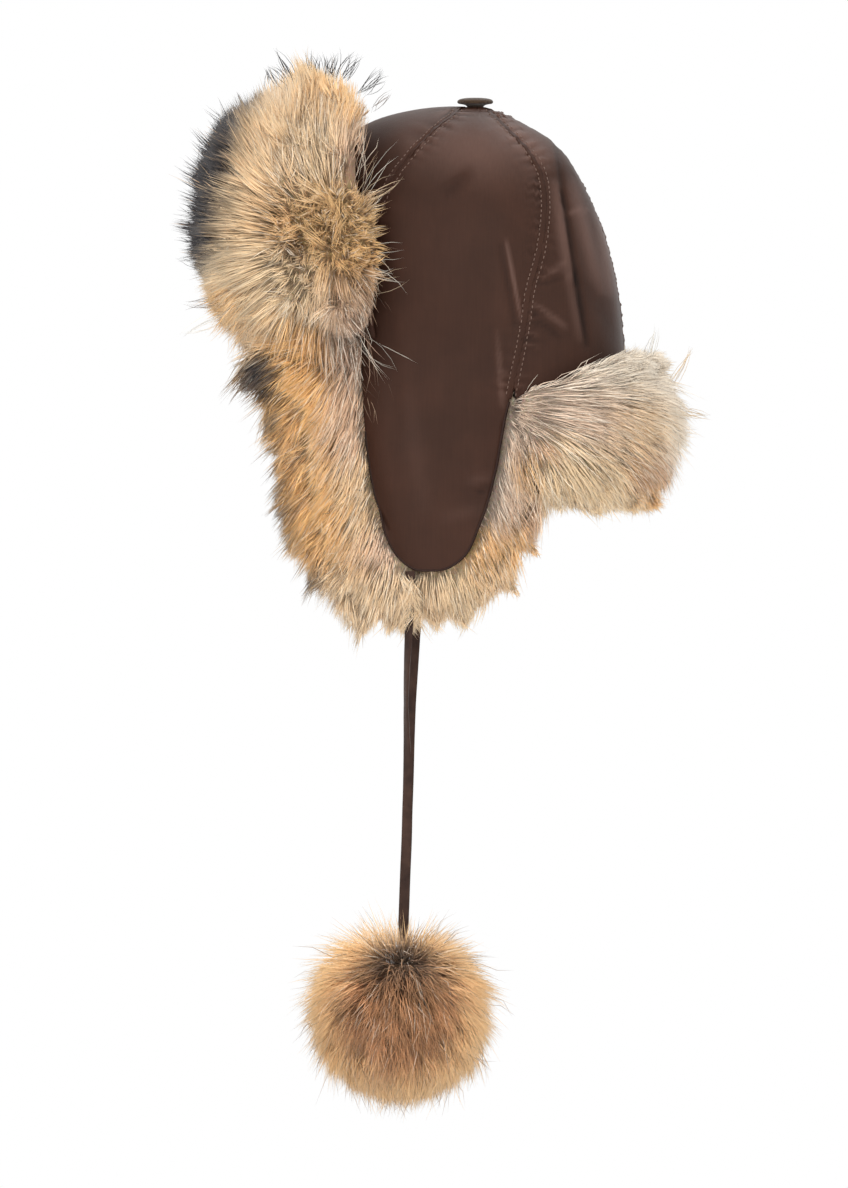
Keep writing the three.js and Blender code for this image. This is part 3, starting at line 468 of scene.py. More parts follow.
# The corner where a back panel and the ear flap part keeps its place.
def creaseCorner(piece):
    selectOnly(piece)
    y, z, near = (cornerSetup[name] * mm for name in ("y", "z", "near"))
    for vertex in piece.data.vertices:
        vertex.select = abs(vertex.co.y - y) < near and abs(vertex.co.z - z) < near
    bpy.ops.object.mode_set(mode="EDIT")
    bpy.ops.transform.vert_crease(value=1)
    bpy.ops.object.mode_set(mode="OBJECT")


shellSetup = {
    "puckerHeight": 0.0008, "puckerLength": 0.0085, "puckerReach": 0.011, "puckerShade": 0.3,
    "seamReach": 0.002, "patchLength": 0.031, "swayLength": 0.013, "sway": 2.2, "sharp": 40, "smooth": 50,
    "fineness": {"front_panel": 2}, "fill": 0.35,
}


# From the middle line of the crown to each place.
def fromMiddle(places):
    return places - (places * np.array([0, 0, 0.6]) + np.array([0, -0.008, 0]))


def makeShellPanel(node, seams):
    piece = copyNode(node, "shell_" + node)
    creaseSharpEdges(piece, shellSetup["sharp"], 1)
    if node.startswith("back"):
        creaseCorner(piece)
    subdivide(piece, shellSetup["fineness"].get(node, 3))
    mesh = piece.data
    places, normals = readVectors(mesh.vertices, "co"), readVectors(mesh.vertices, "normal")
    outward = along(normals, fromMiddle(places)) > 0
    away, nearest = np.full(len(places), 1.0), np.zeros(len(places))
    for number, seam in enumerate(seams):
        gap, index = nearestOnPath(places, seamPaths[seam])
        nearest = np.where(gap < away, index * mm + 0.31 * number, nearest)
        away = np.minimum(gap, away)
    sway = shellSetup["sway"] * np.sin(nearest / shellSetup["swayLength"])
    ripple = np.sin(2 * np.pi * nearest / shellSetup["puckerLength"] + sway)
    fade = np.exp(-((away / shellSetup["puckerReach"]) ** 2))
    fade *= 1 - np.exp(-((away / shellSetup["seamReach"]) ** 2))
    patches = 0.5 + 0.5 * np.sin(nearest / shellSetup["patchLength"] + 1.3)
    lift = strokeSum(places, "height") * mm * outward
    lift += shellSetup["puckerHeight"] * ripple * fade * outward
    # painted highlights and painted shade of the folds and of the puckers along the seams, which the cloth's
    # material lays into its colour
    shade = strokeSum(places, "shade") * outward
    shade += shellSetup["puckerShade"] * ripple * fade * patches * outward
    movePoints(mesh, places + normals * lift[:, None])
    paintedFoldShade = mesh.attributes.new("paintedFoldShade", "FLOAT", "POINT")
    paintedFoldShade.data.foreach_set("value", shade.astype(np.float32))
    mesh.materials.append(shellSatin)
    mesh.materials.append(liningSatin)
    inner = along(readVectors(mesh.polygons, "normal"), fromMiddle(readVectors(mesh.polygons, "center"))) < 0
    mesh.polygons.foreach_set("material_index", inner.astype(np.int32))
    mesh.update()
    shadeSmooth(piece, shellSetup["smooth"])
    return finishPiece(piece, "nylon_shell", node)


shellPanels = [
    makeShellPanel("front_panel", ["front_left", "front_right"]),
    makeShellPanel("side_panel_left", ["front_left", "rear_left"]),
    makeShellPanel("side_panel_right", ["front_right", "rear_right"]),
    makeShellPanel("back_panel_left", ["rear_left", "back"]),
    makeShellPanel("back_panel_right", ["rear_right", "back"]),
]
print("crown and ear flaps ready")


wallSetup = {"sharp": 40, "crease": 0.6, "fineness": 2, "smooth": 60}


def makeTurnedUp(node):
    piece = copyNode(node, "cloth_" + node)
    creaseSharpEdges(piece, wallSetup["sharp"], wallSetup["crease"])
    subdivide(piece, wallSetup["fineness"])
    piece.data.materials.append(shellSatin)
    shadeSmooth(piece, wallSetup["smooth"])
    return finishPiece(piece, "nylon_shell", node)


clothWalls = [makeTurnedUp("peak_panel"), makeTurnedUp("neck_panel")]


# Joins all the shapes' points and faces into one tree for ray and distance questions.
def surfaceTree(pieces):
    points, faces = [], []
    for piece in pieces:
        start = len(points)
        points += [tuple(v.co) for v in piece.data.vertices]
        faces += [[start + i for i in p.vertices] for p in piece.data.polygons]
    return BVHTree.FromPolygons(points, faces)


shellTree = surfaceTree(shellPanels)
clothTree = surfaceTree(shellPanels + clothWalls)


# Where a level ray from the side of the hat first meets a surface.
def metFromSide(tree, side, point, reach=0.2):
    return tree.ray_cast(Vector((side * 0.2, point[1], point[2])), Vector((-side, 0, 0)), reach)[0]


def meshFromArrays(name, points, triangles):
    mesh = bpy.data.meshes.new(name)
    mesh.vertices.add(len(points))
    movePoints(mesh, points)
    mesh.loops.add(triangles.size)
    mesh.loops.foreach_set("vertex_index", triangles.astype(np.int32).ravel())
    mesh.polygons.add(len(triangles))
    mesh.polygons.foreach_set("loop_start", np.arange(0, triangles.size, 3, dtype=np.int32))
    mesh.update(calc_edges=True)
    mesh.shade_smooth()
    piece = bpy.data.objects.new(name, mesh)
    bpy.context.scene.collection.objects.link(piece)
    return piece


# Along, out of and across a seam at one step of its path.
def seamFrame(path, step):
    ahead = path[min(step + 3, len(path) - 1)] - path[max(step - 3, 0)]
    ahead /= np.linalg.norm(ahead)
    out = path[step] - np.array([0, -0.008, path[step][2] * 0.55])
    out -= ahead * out.dot(ahead)
    out /= np.linalg.norm(out)
    return ahead, out, np.cross(out, ahead)


stitchSetup = {
    "length": 2.3, "pitch": 3.9, "thickness": 0.85, "fromSeam": 3.4, "sink": 0.15, "middle": 0.72, "end": 0.14,
    "dip": 0.8, "tip": 0.45, "firstStep": 9, "lastSteps": 4, "feelFrom": 0.004,
}


# One stitch, modelled once: a short rounded bar that dips at both ends, along +X.
def modelStitch():
    radius, length = stitchSetup["thickness"] / 2 * mm, stitchSetup["length"] * mm
    stitch = addShape(
        bpy.ops.mesh.primitive_cylinder_add, "stitch", vertices=6, radius=radius,
        depth=length * stitchSetup["middle"], rotation=(0, math.pi / 2, 0),
    )
    bpy.ops.object.mode_set(mode="EDIT")
    bpy.ops.mesh.select_mode(type="FACE")
    for end in (-1, 1):
        bpy.ops.mesh.select_all(action="DESELECT")
        bpy.ops.object.mode_set(mode="OBJECT")
        for face in stitch.data.polygons:
            face.select = face.normal.x * end > 0.9
        bpy.ops.object.mode_set(mode="EDIT")
        step = (end * length * stitchSetup["end"], 0, -radius * stitchSetup["dip"])
        bpy.ops.mesh.extrude_region_move(TRANSFORM_OT_translate={"value": step})
        bpy.ops.transform.resize(value=(1, stitchSetup["tip"], stitchSetup["tip"]))
    bpy.ops.object.mode_set(mode="OBJECT")
    return stitch


def stitchRows():
    stitch = modelStitch()
    stitch.data.calc_loop_triangles()
    shape = readVectors(stitch.data.vertices, "co")
    faces = np.array([t.vertices[:] for t in stitch.data.loop_triangles])
    points, triangles = [], []
    for path in seamPaths.values():
        for side in (-1, 1):
            end = len(path) - stitchSetup["lastSteps"]
            for step in np.arange(stitchSetup["firstStep"], end, stitchSetup["pitch"]).astype(int):
                ahead, out, across = seamFrame(path, step)
                beside = path[step] + across * side * stitchSetup["fromSeam"] * mm
                beside += out * stitchSetup["feelFrom"]
                found, normal, _, _ = shellTree.ray_cast(Vector(beside), Vector(-out))
                if found is None:
                    continue
                up = np.array(normal)
                forward = ahead - up * ahead.dot(up)
                forward /= np.linalg.norm(forward)
                turned = shape @ np.stack([forward, np.cross(up, forward), up])
                triangles.append(faces + len(points) * len(shape))
                points.append(turned + np.array(found) + up * stitchSetup["sink"] * mm)
    bpy.data.objects.remove(stitch)
    piece = meshFromArrays("seam_stitches", np.vstack(points), np.vstack(triangles))
    piece.data.materials.append(stitchThread)
    return finishPiece(piece, "thread")


stitches = stitchRows()
print("seams stitched:", len(stitches.data.polygons), "faces")

# At each seam one panel's folded edge lies over the other: height across the seam, in mm.
seamFold = table(
    "across up",
    (-3.4, -0.5), (-2.6, 0.06), (-1.2, 0.22), (0.2, 0.3), (0.9, 0.3), (1.15, 0.0), (1.0, -0.9),
)
seamFoldSetup = {
    "stride": 3, "feel": 3.2, "feelFrom": 0.006, "steepest": 0.004, "underAcross": 1.5, "underDepth": 0.0012,
}


# The faces between rings of points.
def wallFaces(rings, corners):
    faces = []
    for i in range(rings - 1):
        for j in range(corners):
            a, b = i * corners + j, i * corners + (j + 1) % corners
            faces += [(a, b, b + corners), (a, b + corners, a + corners)]
    return faces


# Rows of points joined into a closed strip whose end rows are capped.
def stripMesh(name, rows):
    across, end = len(rows[0]), (len(rows) - 1) * len(rows[0])
    triangles = wallFaces(len(rows), across)
    for j in range(1, across - 1):
        triangles += [(0, j + 1, j), (end, end + j, end + j + 1)]
    piece = meshFromArrays(name, np.vstack(rows), np.array(triangles))
    facesOutward(piece)
    shadeSmooth(piece, 50)
    return piece


def makeSeamFold(name, path):
    rows, setup = [], seamFoldSetup
    for step in range(0, len(path), setup["stride"]):
        at = path[step]
        _, out, across = seamFrame(path, step)
        heights = []
        for side in (-setup["feel"], setup["feel"]):
            beside = at + across * side * mm + out * setup["feelFrom"]
            hit = shellTree.ray_cast(Vector(beside), Vector(-out))[0]
            if hit is not None and abs((np.array(hit) - at).dot(out)) < setup["steepest"]:
                heights.append((np.array(hit) - at).dot(out))
        if not heights:
            continue
        level = sum(heights) / len(heights)
        row = [at + across * f["across"] * mm + out * (level + f["up"] * mm) for f in seamFold]
        row.append(at - across * setup["underAcross"] * mm + out * (level - setup["underDepth"]))
        rows.append(np.array(row))
    piece = stripMesh(name, rows)
    piece.data.materials.append(shellSatin)
    return finishPiece(piece, "nylon_shell")


for seamName, path in seamPaths.items():
    makeSeamFold("seam_fold_" + seamName, path)

# The rolled lower edge of each ear flap, in side view.
flapEdge = table(
    "y z",
    (-89, -64), (-86, -94), (-81, -116), (-76, -138), (-69, -152), (-62, -161), (-55, -165), (-46, -167),
    (-37, -167.5), (-28, -166.5), (-18, -161), (-10, -152), (-3, -137), (3, -115), (8, -92), (13, -62),
    (17, -42),
)
rollSetup = {
    "radius": 1.0, "corners": 8, "spacing": 0.0025, "middle": (0, -0.038, -0.08), "steps": 24, "outside": 8,
    "step": 0.0006, "reach": 0.16, "sink": 0.0004, "evenings": 3,
}


# The route moves inwards at each point until it lies on the flap, then evens out.
def makeEdgeRoll(name, side):
    middle, points, rings = np.array(rollSetup["middle"]), [], []
    for place in smoothPath(flapEdge, 1, rollSetup["spacing"]):
        inward = (middle - place) / np.linalg.norm(middle - place)
        for step in range(rollSetup["steps"]):
            tried = place + inward * (step - rollSetup["outside"]) * rollSetup["step"]
            hit = metFromSide(shellTree, side, tried, rollSetup["reach"])
            if hit is not None:
                points.append(np.array(hit))
                break
    line = np.array(points)
    for _ in range(rollSetup["evenings"]):
        line[1:-1] = (line[:-2] + 2 * line[1:-1] + line[2:]) / 4
    ahead = np.gradient(line, axis=0)
    ahead /= np.linalg.norm(ahead, axis=1, keepdims=True)
    turn = np.arange(rollSetup["corners"])[:, None] * 2 * np.pi / rollSetup["corners"]
    for place, forward, wide in zip(line, ahead, np.cross(ahead, np.array([side, 0, 0]))):
        wide = wide / np.linalg.norm(wide)
        offset = np.cos(turn) * wide + np.sin(turn) * np.cross(forward, wide)
        rings.append(place - np.array([side * rollSetup["sink"], 0, 0]) + offset * rollSetup["radius"] * mm)
    piece = stripMesh(name, rings)
    # the roll is the flap's turned-under edge, and its darker lining satin is painted shade for the shadow line
    # along it
    piece.data.materials.append(liningSatin)
    return finishPiece(piece, "nylon_shell")


makeEdgeRoll("flap_edge_left", 1)
makeEdgeRoll("flap_edge_right", -1)
print("seam folds and flap edges ready")

# Each step raises the button's ring and widens or narrows it.
buttonSetup = {
    "stem": 5.2, "y": -8, "foot": 170, "corners": 28, "fineness": 2,
    "steps": ((7.9, 1.0), (0.1, 2.3), (1.1, 1.13), (1.6, 0.99), (1.2, 0.88), (0.7, 0.7), (0.35, 0.5)),
}


def makeButton():
    foot = (0, buttonSetup["y"] * mm, buttonSetup["foot"] * mm)
    button = addShape(
        bpy.ops.mesh.primitive_circle_add, "cloth_button", vertices=buttonSetup["corners"],
        radius=buttonSetup["stem"] * mm, location=foot, fill_type="NGON",
    )
    bpy.ops.object.mode_set(mode="EDIT")
    bpy.ops.mesh.select_all(action="SELECT")
    for rise, grow in buttonSetup["steps"]:
        bpy.ops.mesh.extrude_region_move(TRANSFORM_OT_translate={"value": (0, 0, rise * mm)})
        bpy.ops.transform.resize(value=(grow, grow, 1))
    bpy.ops.object.mode_set(mode="OBJECT")
    facesOutward(button)
    subdivide(button, buttonSetup["fineness"])
    shadeSmooth(button)
    button.data.materials.append(buttonTweed)
    return finishPiece(button, "button_cloth", "crown_button")


makeButton()
print("button ready")

tieSetup = {
    "width": 7.4, "thickness": 2.4, "x": 82, "spacing": 0.002, "corners": 12, "narrowFrom": -0.428,
    "narrowOver": 0.015, "narrowBy": 0.5,
}
# turn is the strap's twist: 0 shows its whole width from the side, 90 its edge
leftTie = table(
    "y z turn",
    (-56, -167.5, 10), (-56.4, -190, 15), (-57.2, -212, 35), (-58.5, -238, 55), (-59.2, -265, 68),
    (-58.6, -292, 52), (-58, -321, 24), (-58.4, -345, 10), (-59, -368, 4), (-60, -392, 0), (-60.8, -415, 0),
    (-61.4, -430, 12), (-61.6, -443, 40),
)
rightTie = table(
    "y z turn",
    (-50.5, -167.5, 0), (-51, -190, 8), (-52, -212, 15), (-53.5, -238, 22), (-55, -265, 30), (-56, -292, 30),
    (-57, -321, 20), (-58, -345, 10), (-58.6, -368, 0), (-59.6, -392, 0), (-60.4, -415, 0), (-61, -430, 0),
    (-61.2, -443, 0),
)


def makeTie(side, name, route):
    path = smoothPath(route, side, tieSetup["spacing"], tieSetup["x"])
    turn = np.radians(np.interp(-path[:, 2], -column(route, "z") * mm, column(route, "turn")))
    corners = tieSetup["corners"]
    around = np.arange(corners) * 2 * np.pi / corners
    # the section is a strap folded lengthwise, a little fuller along its two edges
    across = np.cos(around) * tieSetup["width"] / 2 * mm
    through = np.sin(around) * tieSetup["thickness"] / 2 * (0.75 + 0.25 * np.abs(np.cos(around))) * mm
    below = (tieSetup["narrowFrom"] - path[:, 2]) / tieSetup["narrowOver"]
    narrow = 1 - tieSetup["narrowBy"] * np.clip(below, 0, 1)
    rings = []
    for place, angle, share in zip(path, turn, narrow):
        wide = np.array([math.sin(angle), math.cos(angle), 0])
        deep = np.array([math.cos(angle), -math.sin(angle), 0])
        rings.append(place + share * across[:, None] * wide + through[:, None] * deep)
    points = np.vstack(rings + [path[:1], path[-1:]])
    triangles = wallFaces(len(path), corners)
    first, end = len(points) - 2, (len(path) - 1) * corners
    for j in range(corners):
        triangles += [(first, (j + 1) % corners, j), (first + 1, end + j, end + (j + 1) % corners)]
    tie = meshFromArrays(name, points, np.array(triangles))
    facesOutward(tie)
    shadeSmooth(tie, 60)
    tie.data.materials.append(tieSatin)
    return tie, path


ties = {}
for sideName, side, route in (("left", 1, leftTie), ("right", -1, rightTie)):
    tie, path = makeTie(side, "hanging_tie_" + sideName, route)
    ties[sideName] = {"tie": finishPiece(tie, "tie_cloth", "tie_" + sideName), "path": path}
print("ties ready")

dyes = {
    "cream": (252, 222, 182), "wheat": (240, 213, 174), "straw": (246, 208, 158), "sand": (235, 202, 160),
    "tan": (228, 186, 134), "gold": (246, 196, 130), "honey": (222, 178, 120), "taupe": (206, 172, 142),
    "ash": (186, 154, 130), "rose": (232, 200, 172), "brown": (176, 136, 102), "umber": (118, 90, 70),
    "charcoal": (40, 35, 37), "frost": (255, 247, 230), "shadow": (92, 68, 52), "olive": (216, 178, 126),
    "pearl": (255, 241, 221), "russet": (172, 127, 90), "dove": (214, 190, 168),
}


def dye(name):
    return linearColour(dyes[name])


# Where each dye shows, in side view.
coatMarks = table(
    "y z reach dye",
    # peak: gold top, black-tipped front edge, pale body, honey whorl with an umber spot as painted shade in its
    # hollow, grey next to the crown
    (-118, 192, 20, "straw"), (-92, 186, 13, "gold"), (-152, 172, 26, "sand"), (-130, 150, 22, "wheat"),
    (-180, 140, 22, "sand"), (-160, 128, 22, "sand"), (-204, 140, 18, "brown"), (-214, 90, 16, "brown"),
    (-188, 106, 20, "wheat"), (-194, 78, 18, "wheat"), (-160, 96, 16, "tan"), (-119, 86, 22, "olive"),
    (-101, 96, 18, "olive"), (-101, 62, 16, "honey"), (-142, 70, 7, "umber"), (-92, 48, 9, "brown"),
    (-96, 145, 14, "ash"), (-90, 124, 11, "taupe"), (-138, 34, 20, "wheat"), (-168, 48, 18, "wheat"),
    (-194, 32, 10, "gold"), (-190, 10, 14, "tan"), (-108, 32, 16, "taupe"), (-100, 10, 14, "ash"),
    # ear flap: gold band with dark tips in front, grey along the cloth, cream at the tip
    (-182, -2, 13, "sand"), (-169, -22, 10, "shadow"), (-176, -50, 7, "umber"), (-168, -90, 8, "umber"),
    (-169, -120, 10, "brown"), (-160, -146, 10, "tan"), (-142, -172, 8, "umber"), (-138, -2, 15, "gold"),
    (-142, -30, 16, "gold"), (-146, -56, 14, "gold"), (-130, -78, 13, "tan"), (-138, -106, 14, "gold"),
    (-123, -124, 14, "gold"), (-132, -146, 13, "gold"), (-108, -158, 14, "tan"), (-104, -12, 12, "ash"),
    (-101, -42, 12, "taupe"), (-100, -72, 12, "taupe"), (-99, -100, 12, "sand"), (-90, -130, 12, "sand"),
    (-80, -152, 12, "rose"), (-104, -184, 14, "cream"), (-84, -190, 14, "cream"), (-64, -186, 13, "cream"),
    # rear half of the ear flap
    (-42, -190, 14, "cream"), (-40, -208, 13, "cream"), (-22, -182, 13, "wheat"), (-4, -160, 12, "tan"),
    (8, -176, 11, "sand"), (22, -152, 11, "tan"), (10, -116, 12, "dove"), (6, -92, 11, "dove"),
    (28, -126, 10, "taupe"), (30, -70, 11, "dove"), (20, -48, 11, "dove"), (36, -94, 9, "tan"),
    # neck flap: pale with a dark corner low at the back
    (54, -40, 18, "dove"), (84, -10, 18, "pearl"), (114, -18, 20, "pearl"), (146, -40, 18, "pearl"),
    (84, -56, 18, "dove"), (112, -60, 18, "sand"), (124, -92, 12, "brown"), (77, -92, 16, "wheat"),
    (55, -100, 14, "wheat"), (84, -120, 16, "wheat"), (44, -78, 6, "brown"), (150, -78, 15, "pearl"),
    (132, -112, 12, "tan"),
)

# Direction of the lie in side view, in degrees: 0 to the back, 90 up, 180 to the front.
lieMarks = table(
    "y z reach turn",
    (-180, -6, 14, 236), (-166, -34, 13, 238), (-138, -10, 30, 216), (-138, -70, 30, 220),
    (-132, -120, 28, 224), (-112, -160, 24, 234), (-98, -190, 20, 248), (-72, -190, 18, 264),
    (-100, -20, 16, 252), (-101, -70, 16, 246), (-92, -128, 16, 242), (-76, -160, 16, 248),
    (10, -76, 16, 300), (14, -114, 18, 304), (4, -156, 18, 300), (-20, -182, 18, 286), (-42, -196, 18, 272),
    (34, -76, 14, 290), (30, -48, 9, 350), (17, -38, 8, 15), (40, -44, 14, 350), (56, -22, 16, 18),
    (86, -6, 20, 20), (56, -46, 14, 345), (86, -62, 18, 330), (54, -72, 12, 302), (116, -26, 20, 4),
    (144, -56, 20, 350), (122, -86, 18, 320), (84, -100, 18, 296), (48, -102, 14, 276), (148, -92, 16, 322),
)


def markWeights(marks, places):
    y, z = places[:, 1:2] / mm, places[:, 2:3] / mm
    away = ((y - column(marks, "y")) ** 2 + (z - column(marks, "z")) ** 2) / column(marks, "reach") ** 2
    weight = np.exp(-(away - away.min(1, keepdims=True)))
    return weight / weight.sum(1, keepdims=True)


def coatColour(places):
    return markWeights(coatMarks, places) @ np.array([dye(mark["dye"]) for mark in coatMarks])


def lieDirection(places):
    turns, weights = np.radians(column(lieMarks, "turn")), markWeights(lieMarks, places)
    return np.stack([np.zeros(len(places)), weights @ np.cos(turns), weights @ np.sin(turns)], 1)


whorl = np.array([100, -119, 78]) * mm


def fromWhorl(places):
    return np.linalg.norm(np.stack([np.abs(places[:, 0]), places[:, 1], places[:, 2]], 1) - whorl, axis=1)


# The peak's hair parts from the whorl at each temple, and the two sides meet at the middle.
def peakDirection(places):
    centre = np.tile(whorl, (len(places), 1))
    centre[:, 0] *= np.where(places[:, 0] > 0, 1.0, -1.0)
    away = places - centre
    away[:, 0] *= np.clip(np.abs(places[:, 0]) / 0.05, 0, 1) * 0.5
    return unit(away)


# How far points lie outside a form; nearer inside than the form is deep counts below zero.
def outsideOf(form, points, deepest=0.022):
    values = np.empty(len(points))
    for i, point in enumerate(points):
        near, normal, _, away = form.find_nearest(Vector(point))
        side = (point[0] - near.x) * normal.x + (point[1] - near.y) * normal.y + (point[2] - near.z) * normal.z
        values[i] = -away if side < 0 and away < deepest else away
    return values


# The underfur: the solid's own form, evened out, with its outer side drawn in by the depth of the hair.
def makeSkin(shape):
    skin = copyNode(shape["node"], shape["name"])
    applyModifier(skin, "REMESH", mode="VOXEL", voxel_size=shape["voxel"])
    applyModifier(skin, "SMOOTH", factor=0.5, iterations=shape["smoothing"])
    form = surfaceTree([skin])
    places, normals = readVectors(skin.data.vertices, "co"), readVectors(skin.data.vertices, "normal")
    share = np.interp(along(normals, shape["outward"](places)), [-0.2, 0.5], [shape["inner"], 1])
    share *= np.interp(outsideOf(clothTree, places, deepest=0), [0.002, shape["depth"] * 2], [0.12, 1])
    movePoints(skin.data, shape["trim"](places - normals * (shape["depth"] * share)[:, None]))
    applyModifier(skin, "SMOOTH", factor=0.5, iterations=8)
    skin.data.materials.append(underfur)
    return skin, form


def fromAxis(places):
    return unit((places - np.array([0, -0.01, 0])) * np.array([1, 1, 0.3]))


def sideways(places):
    return np.stack([np.sign(places[:, 0]), places[:, 1] * 0, places[:, 1] * 0], 1)


def scatterOn(skin, count, rng):
    mesh = skin.data
    mesh.calc_loop_triangles()
    corners = np.empty(len(mesh.loop_triangles) * 3, np.int32)
    mesh.loop_triangles.foreach_get("vertices", corners)
    corners = corners.reshape(-1, 3)
    places, normals = readVectors(mesh.vertices, "co"), readVectors(mesh.vertices, "normal")
    a, b, c = (places[corners[:, k]] for k in range(3))
    area = np.linalg.norm(np.cross(b - a, c - a), axis=1)
    pick = rng.choice(len(corners), count, p=area / area.sum())
    u, v = np.sqrt(rng.random(count)), rng.random(count)
    shares = np.stack([1 - u, u * (1 - v), u * v], 1)
    at = sum(shares[:, k : k + 1] * places[corners[pick, k]] for k in range(3))
    return at, unit(sum(shares[:, k : k + 1] * normals[corners[pick, k]] for k in range(3)))


# Which hairs start in sight, with no cloth close above them, and stay clear of the cloth.
def clearOfCloth(starts, ends, normals, room):
    clear = np.ones(len(starts), bool)
    for i, (start, end, normal) in enumerate(zip(starts, ends, normals)):
        run = Vector(end - start)
        if clothTree.ray_cast(Vector(start), run.normalized(), run.length)[0] is not None:
            clear[i] = False
        elif clothTree.ray_cast(Vector(start), Vector(normal), room)[0] is not None:
            clear[i] = False
    return clear


# Closed three-sided hairs along lines of points, thickest in the middle.
def hairMesh(name, line, width, normals):
    count, rings = len(line[0]), len(line) - 2
    heading = unit(line[-1] - line[0])
    side = unit(np.cross(heading, normals + 0.01))
    other = np.cross(heading, side)
    per = 2 + 3 * rings
    points = np.empty((count, per, 3))
    points[:, 0], points[:, -1] = line[0], line[-1]
    for ring in range(rings):
        share = 1.0 if rings == 1 else np.interp(ring / (rings - 1), [0, 0.5, 1], [0.8, 1.0, 0.75])
        for corner in range(3):
            turn = corner * 2 * math.pi / 3
            offset = math.cos(turn) * side + math.sin(turn) * other
            points[:, 1 + 3 * ring + corner] = line[ring + 1] + offset * (width * share / 2)[:, None]
    faces = [(0, 1 + (c + 1) % 3, 1 + c) for c in range(3)]
    for ring in range(rings - 1):
        low = 1 + 3 * ring
        for c in range(3):
            n = (c + 1) % 3
            faces += [(low + c, low + n, low + 3 + n), (low + c, low + 3 + n, low + 3 + c)]
    last = per - 4
    faces += [(last + c, last + (c + 1) % 3, per - 1) for c in range(3)]
    triangles = (np.arange(count)[:, None, None] * per + np.array(faces)[None]).reshape(-1, 3)
    return meshFromArrays(name, points.reshape(-1, 3), triangles), points


def setCoat(piece, colour):
    rgba = np.ones((len(colour), 4), np.float32)
    rgba[:, :3] = colour
    piece.data.color_attributes.new("coat", "FLOAT_COLOR", "POINT").data.foreach_set("color", rgba.ravel())


# Hair is never quite black, and where a colour is too strong for a dye it keeps its hue.
def setHairCoat(piece, colour):
    setCoat(piece, (colour * np.minimum(1, 0.93 / colour.max(1, keepdims=True))).clip(0.006, 0.93))


# How far the hair of the hat reaches in side view, as one loop.
hatOutline = {
    "y": [-84, -87, -103, -129, -152, -174, -192, -202, -212, -215, -220, -216, -212, -203, -193, -186,
          -176, -166, -163, -158, -156, -147, -130, -110, -90, -64, -34, -10, 16, 27, 36, 47, 84, 114,
          135, 145, 148, 136, 114, 84, 77, 25, -34],
    "z": [162, 187, 202, 205, 193, 186, 174, 158, 137, 111, 85, 59, 39, 20, -4, -20, -37, -52, -70, -96,
          -130, -155, -181, -207, -218, -215, -218, -211, -190, -168, -150, -127, -130, -119, -101, -78,
          -54, -32, -4, 13, 70, 155, 163],
}


def pastOutline(points):
    loop = np.stack([hatOutline["y"], hatOutline["z"]], 1) * mm
    at = points[:, 1:]
    nearest, inside = np.full(len(points), np.inf), np.zeros(len(points), bool)
    for a, b in zip(loop, np.roll(loop, -1, 0)):
        share = ((at - a) @ (b - a) / ((b - a) @ (b - a))).clip(0, 1)
        nearest = np.minimum(nearest, np.linalg.norm(at - a - share[:, None] * (b - a), axis=1))
        level = (a[1] > at[:, 1]) != (b[1] > at[:, 1])
        inside ^= level & (at[:, 0] < a[0] + (b[0] - a[0]) * (at[:, 1] - a[1]) / (b[1] - a[1] + 1e-12))
    return np.where(inside, -nearest, nearest)


# widest is how far to the side hair reaches, tries are the shares of its length that a hair may keep
hairRules = {
    "widest": 0.152, "tries": (1, 0.86, 0.72, 0.58, 0.45, 0.33, 0.22), "shortest": 0.15, "tipJitter": 1.4,
    "bend": 0.9, "gatherAt": 0.3, "gatherCurve": 1.4, "toneJitter": 0.12, "inkJitter": 0.0025, "inked": 0.96,
    "neighbourDepth": 0.02, "rimFacing": 0.25,
}


# Hairs that would stand out of the form, past the hat's outline or past its side keep less length.
def lengthShares(form, coat, rng, roots, normals, reach):
    over = coat["over"] + coat["overSpread"] * np.abs(rng.normal(size=len(roots))).clip(0, 2.5)
    rim = np.interp(np.abs(normals[:, 0]), [0.25, 0.8], [1, 0])
    over += coat["edge"] * rim * (along(normals, fromAxis(roots)) > hairRules["rimFacing"])
    past = coat["past"] * np.abs(rng.normal(size=len(roots))).clip(0, 2.5)
    past *= 0.05 + 1.8 * np.sin(roots @ np.array([330, 420, 820])).clip(0, 1)
    shares = np.full(len(roots), hairRules["shortest"])
    untold = np.arange(len(roots))
    for tried in hairRules["tries"]:
        tips = roots[untold] + reach[untold] * tried
        tipOut = outsideOf(form, tips, coat["deepest"])
        for neighbour in coat["neighbours"]:
            standing = np.nonzero(tipOut > over[untold])[0]
            there = outsideOf(neighbour, tips[standing], hairRules["neighbourDepth"])
            tipOut[standing] = np.minimum(tipOut[standing], there)
        fits = (tipOut <= over[untold]) & (np.abs(tips[:, 0]) < hairRules["widest"])
        if coat["outlined"]:
            fits &= pastOutline(tips) <= past[untold]
        shares[untold[fits]] = tried
        untold = untold[~fits]
    return shares


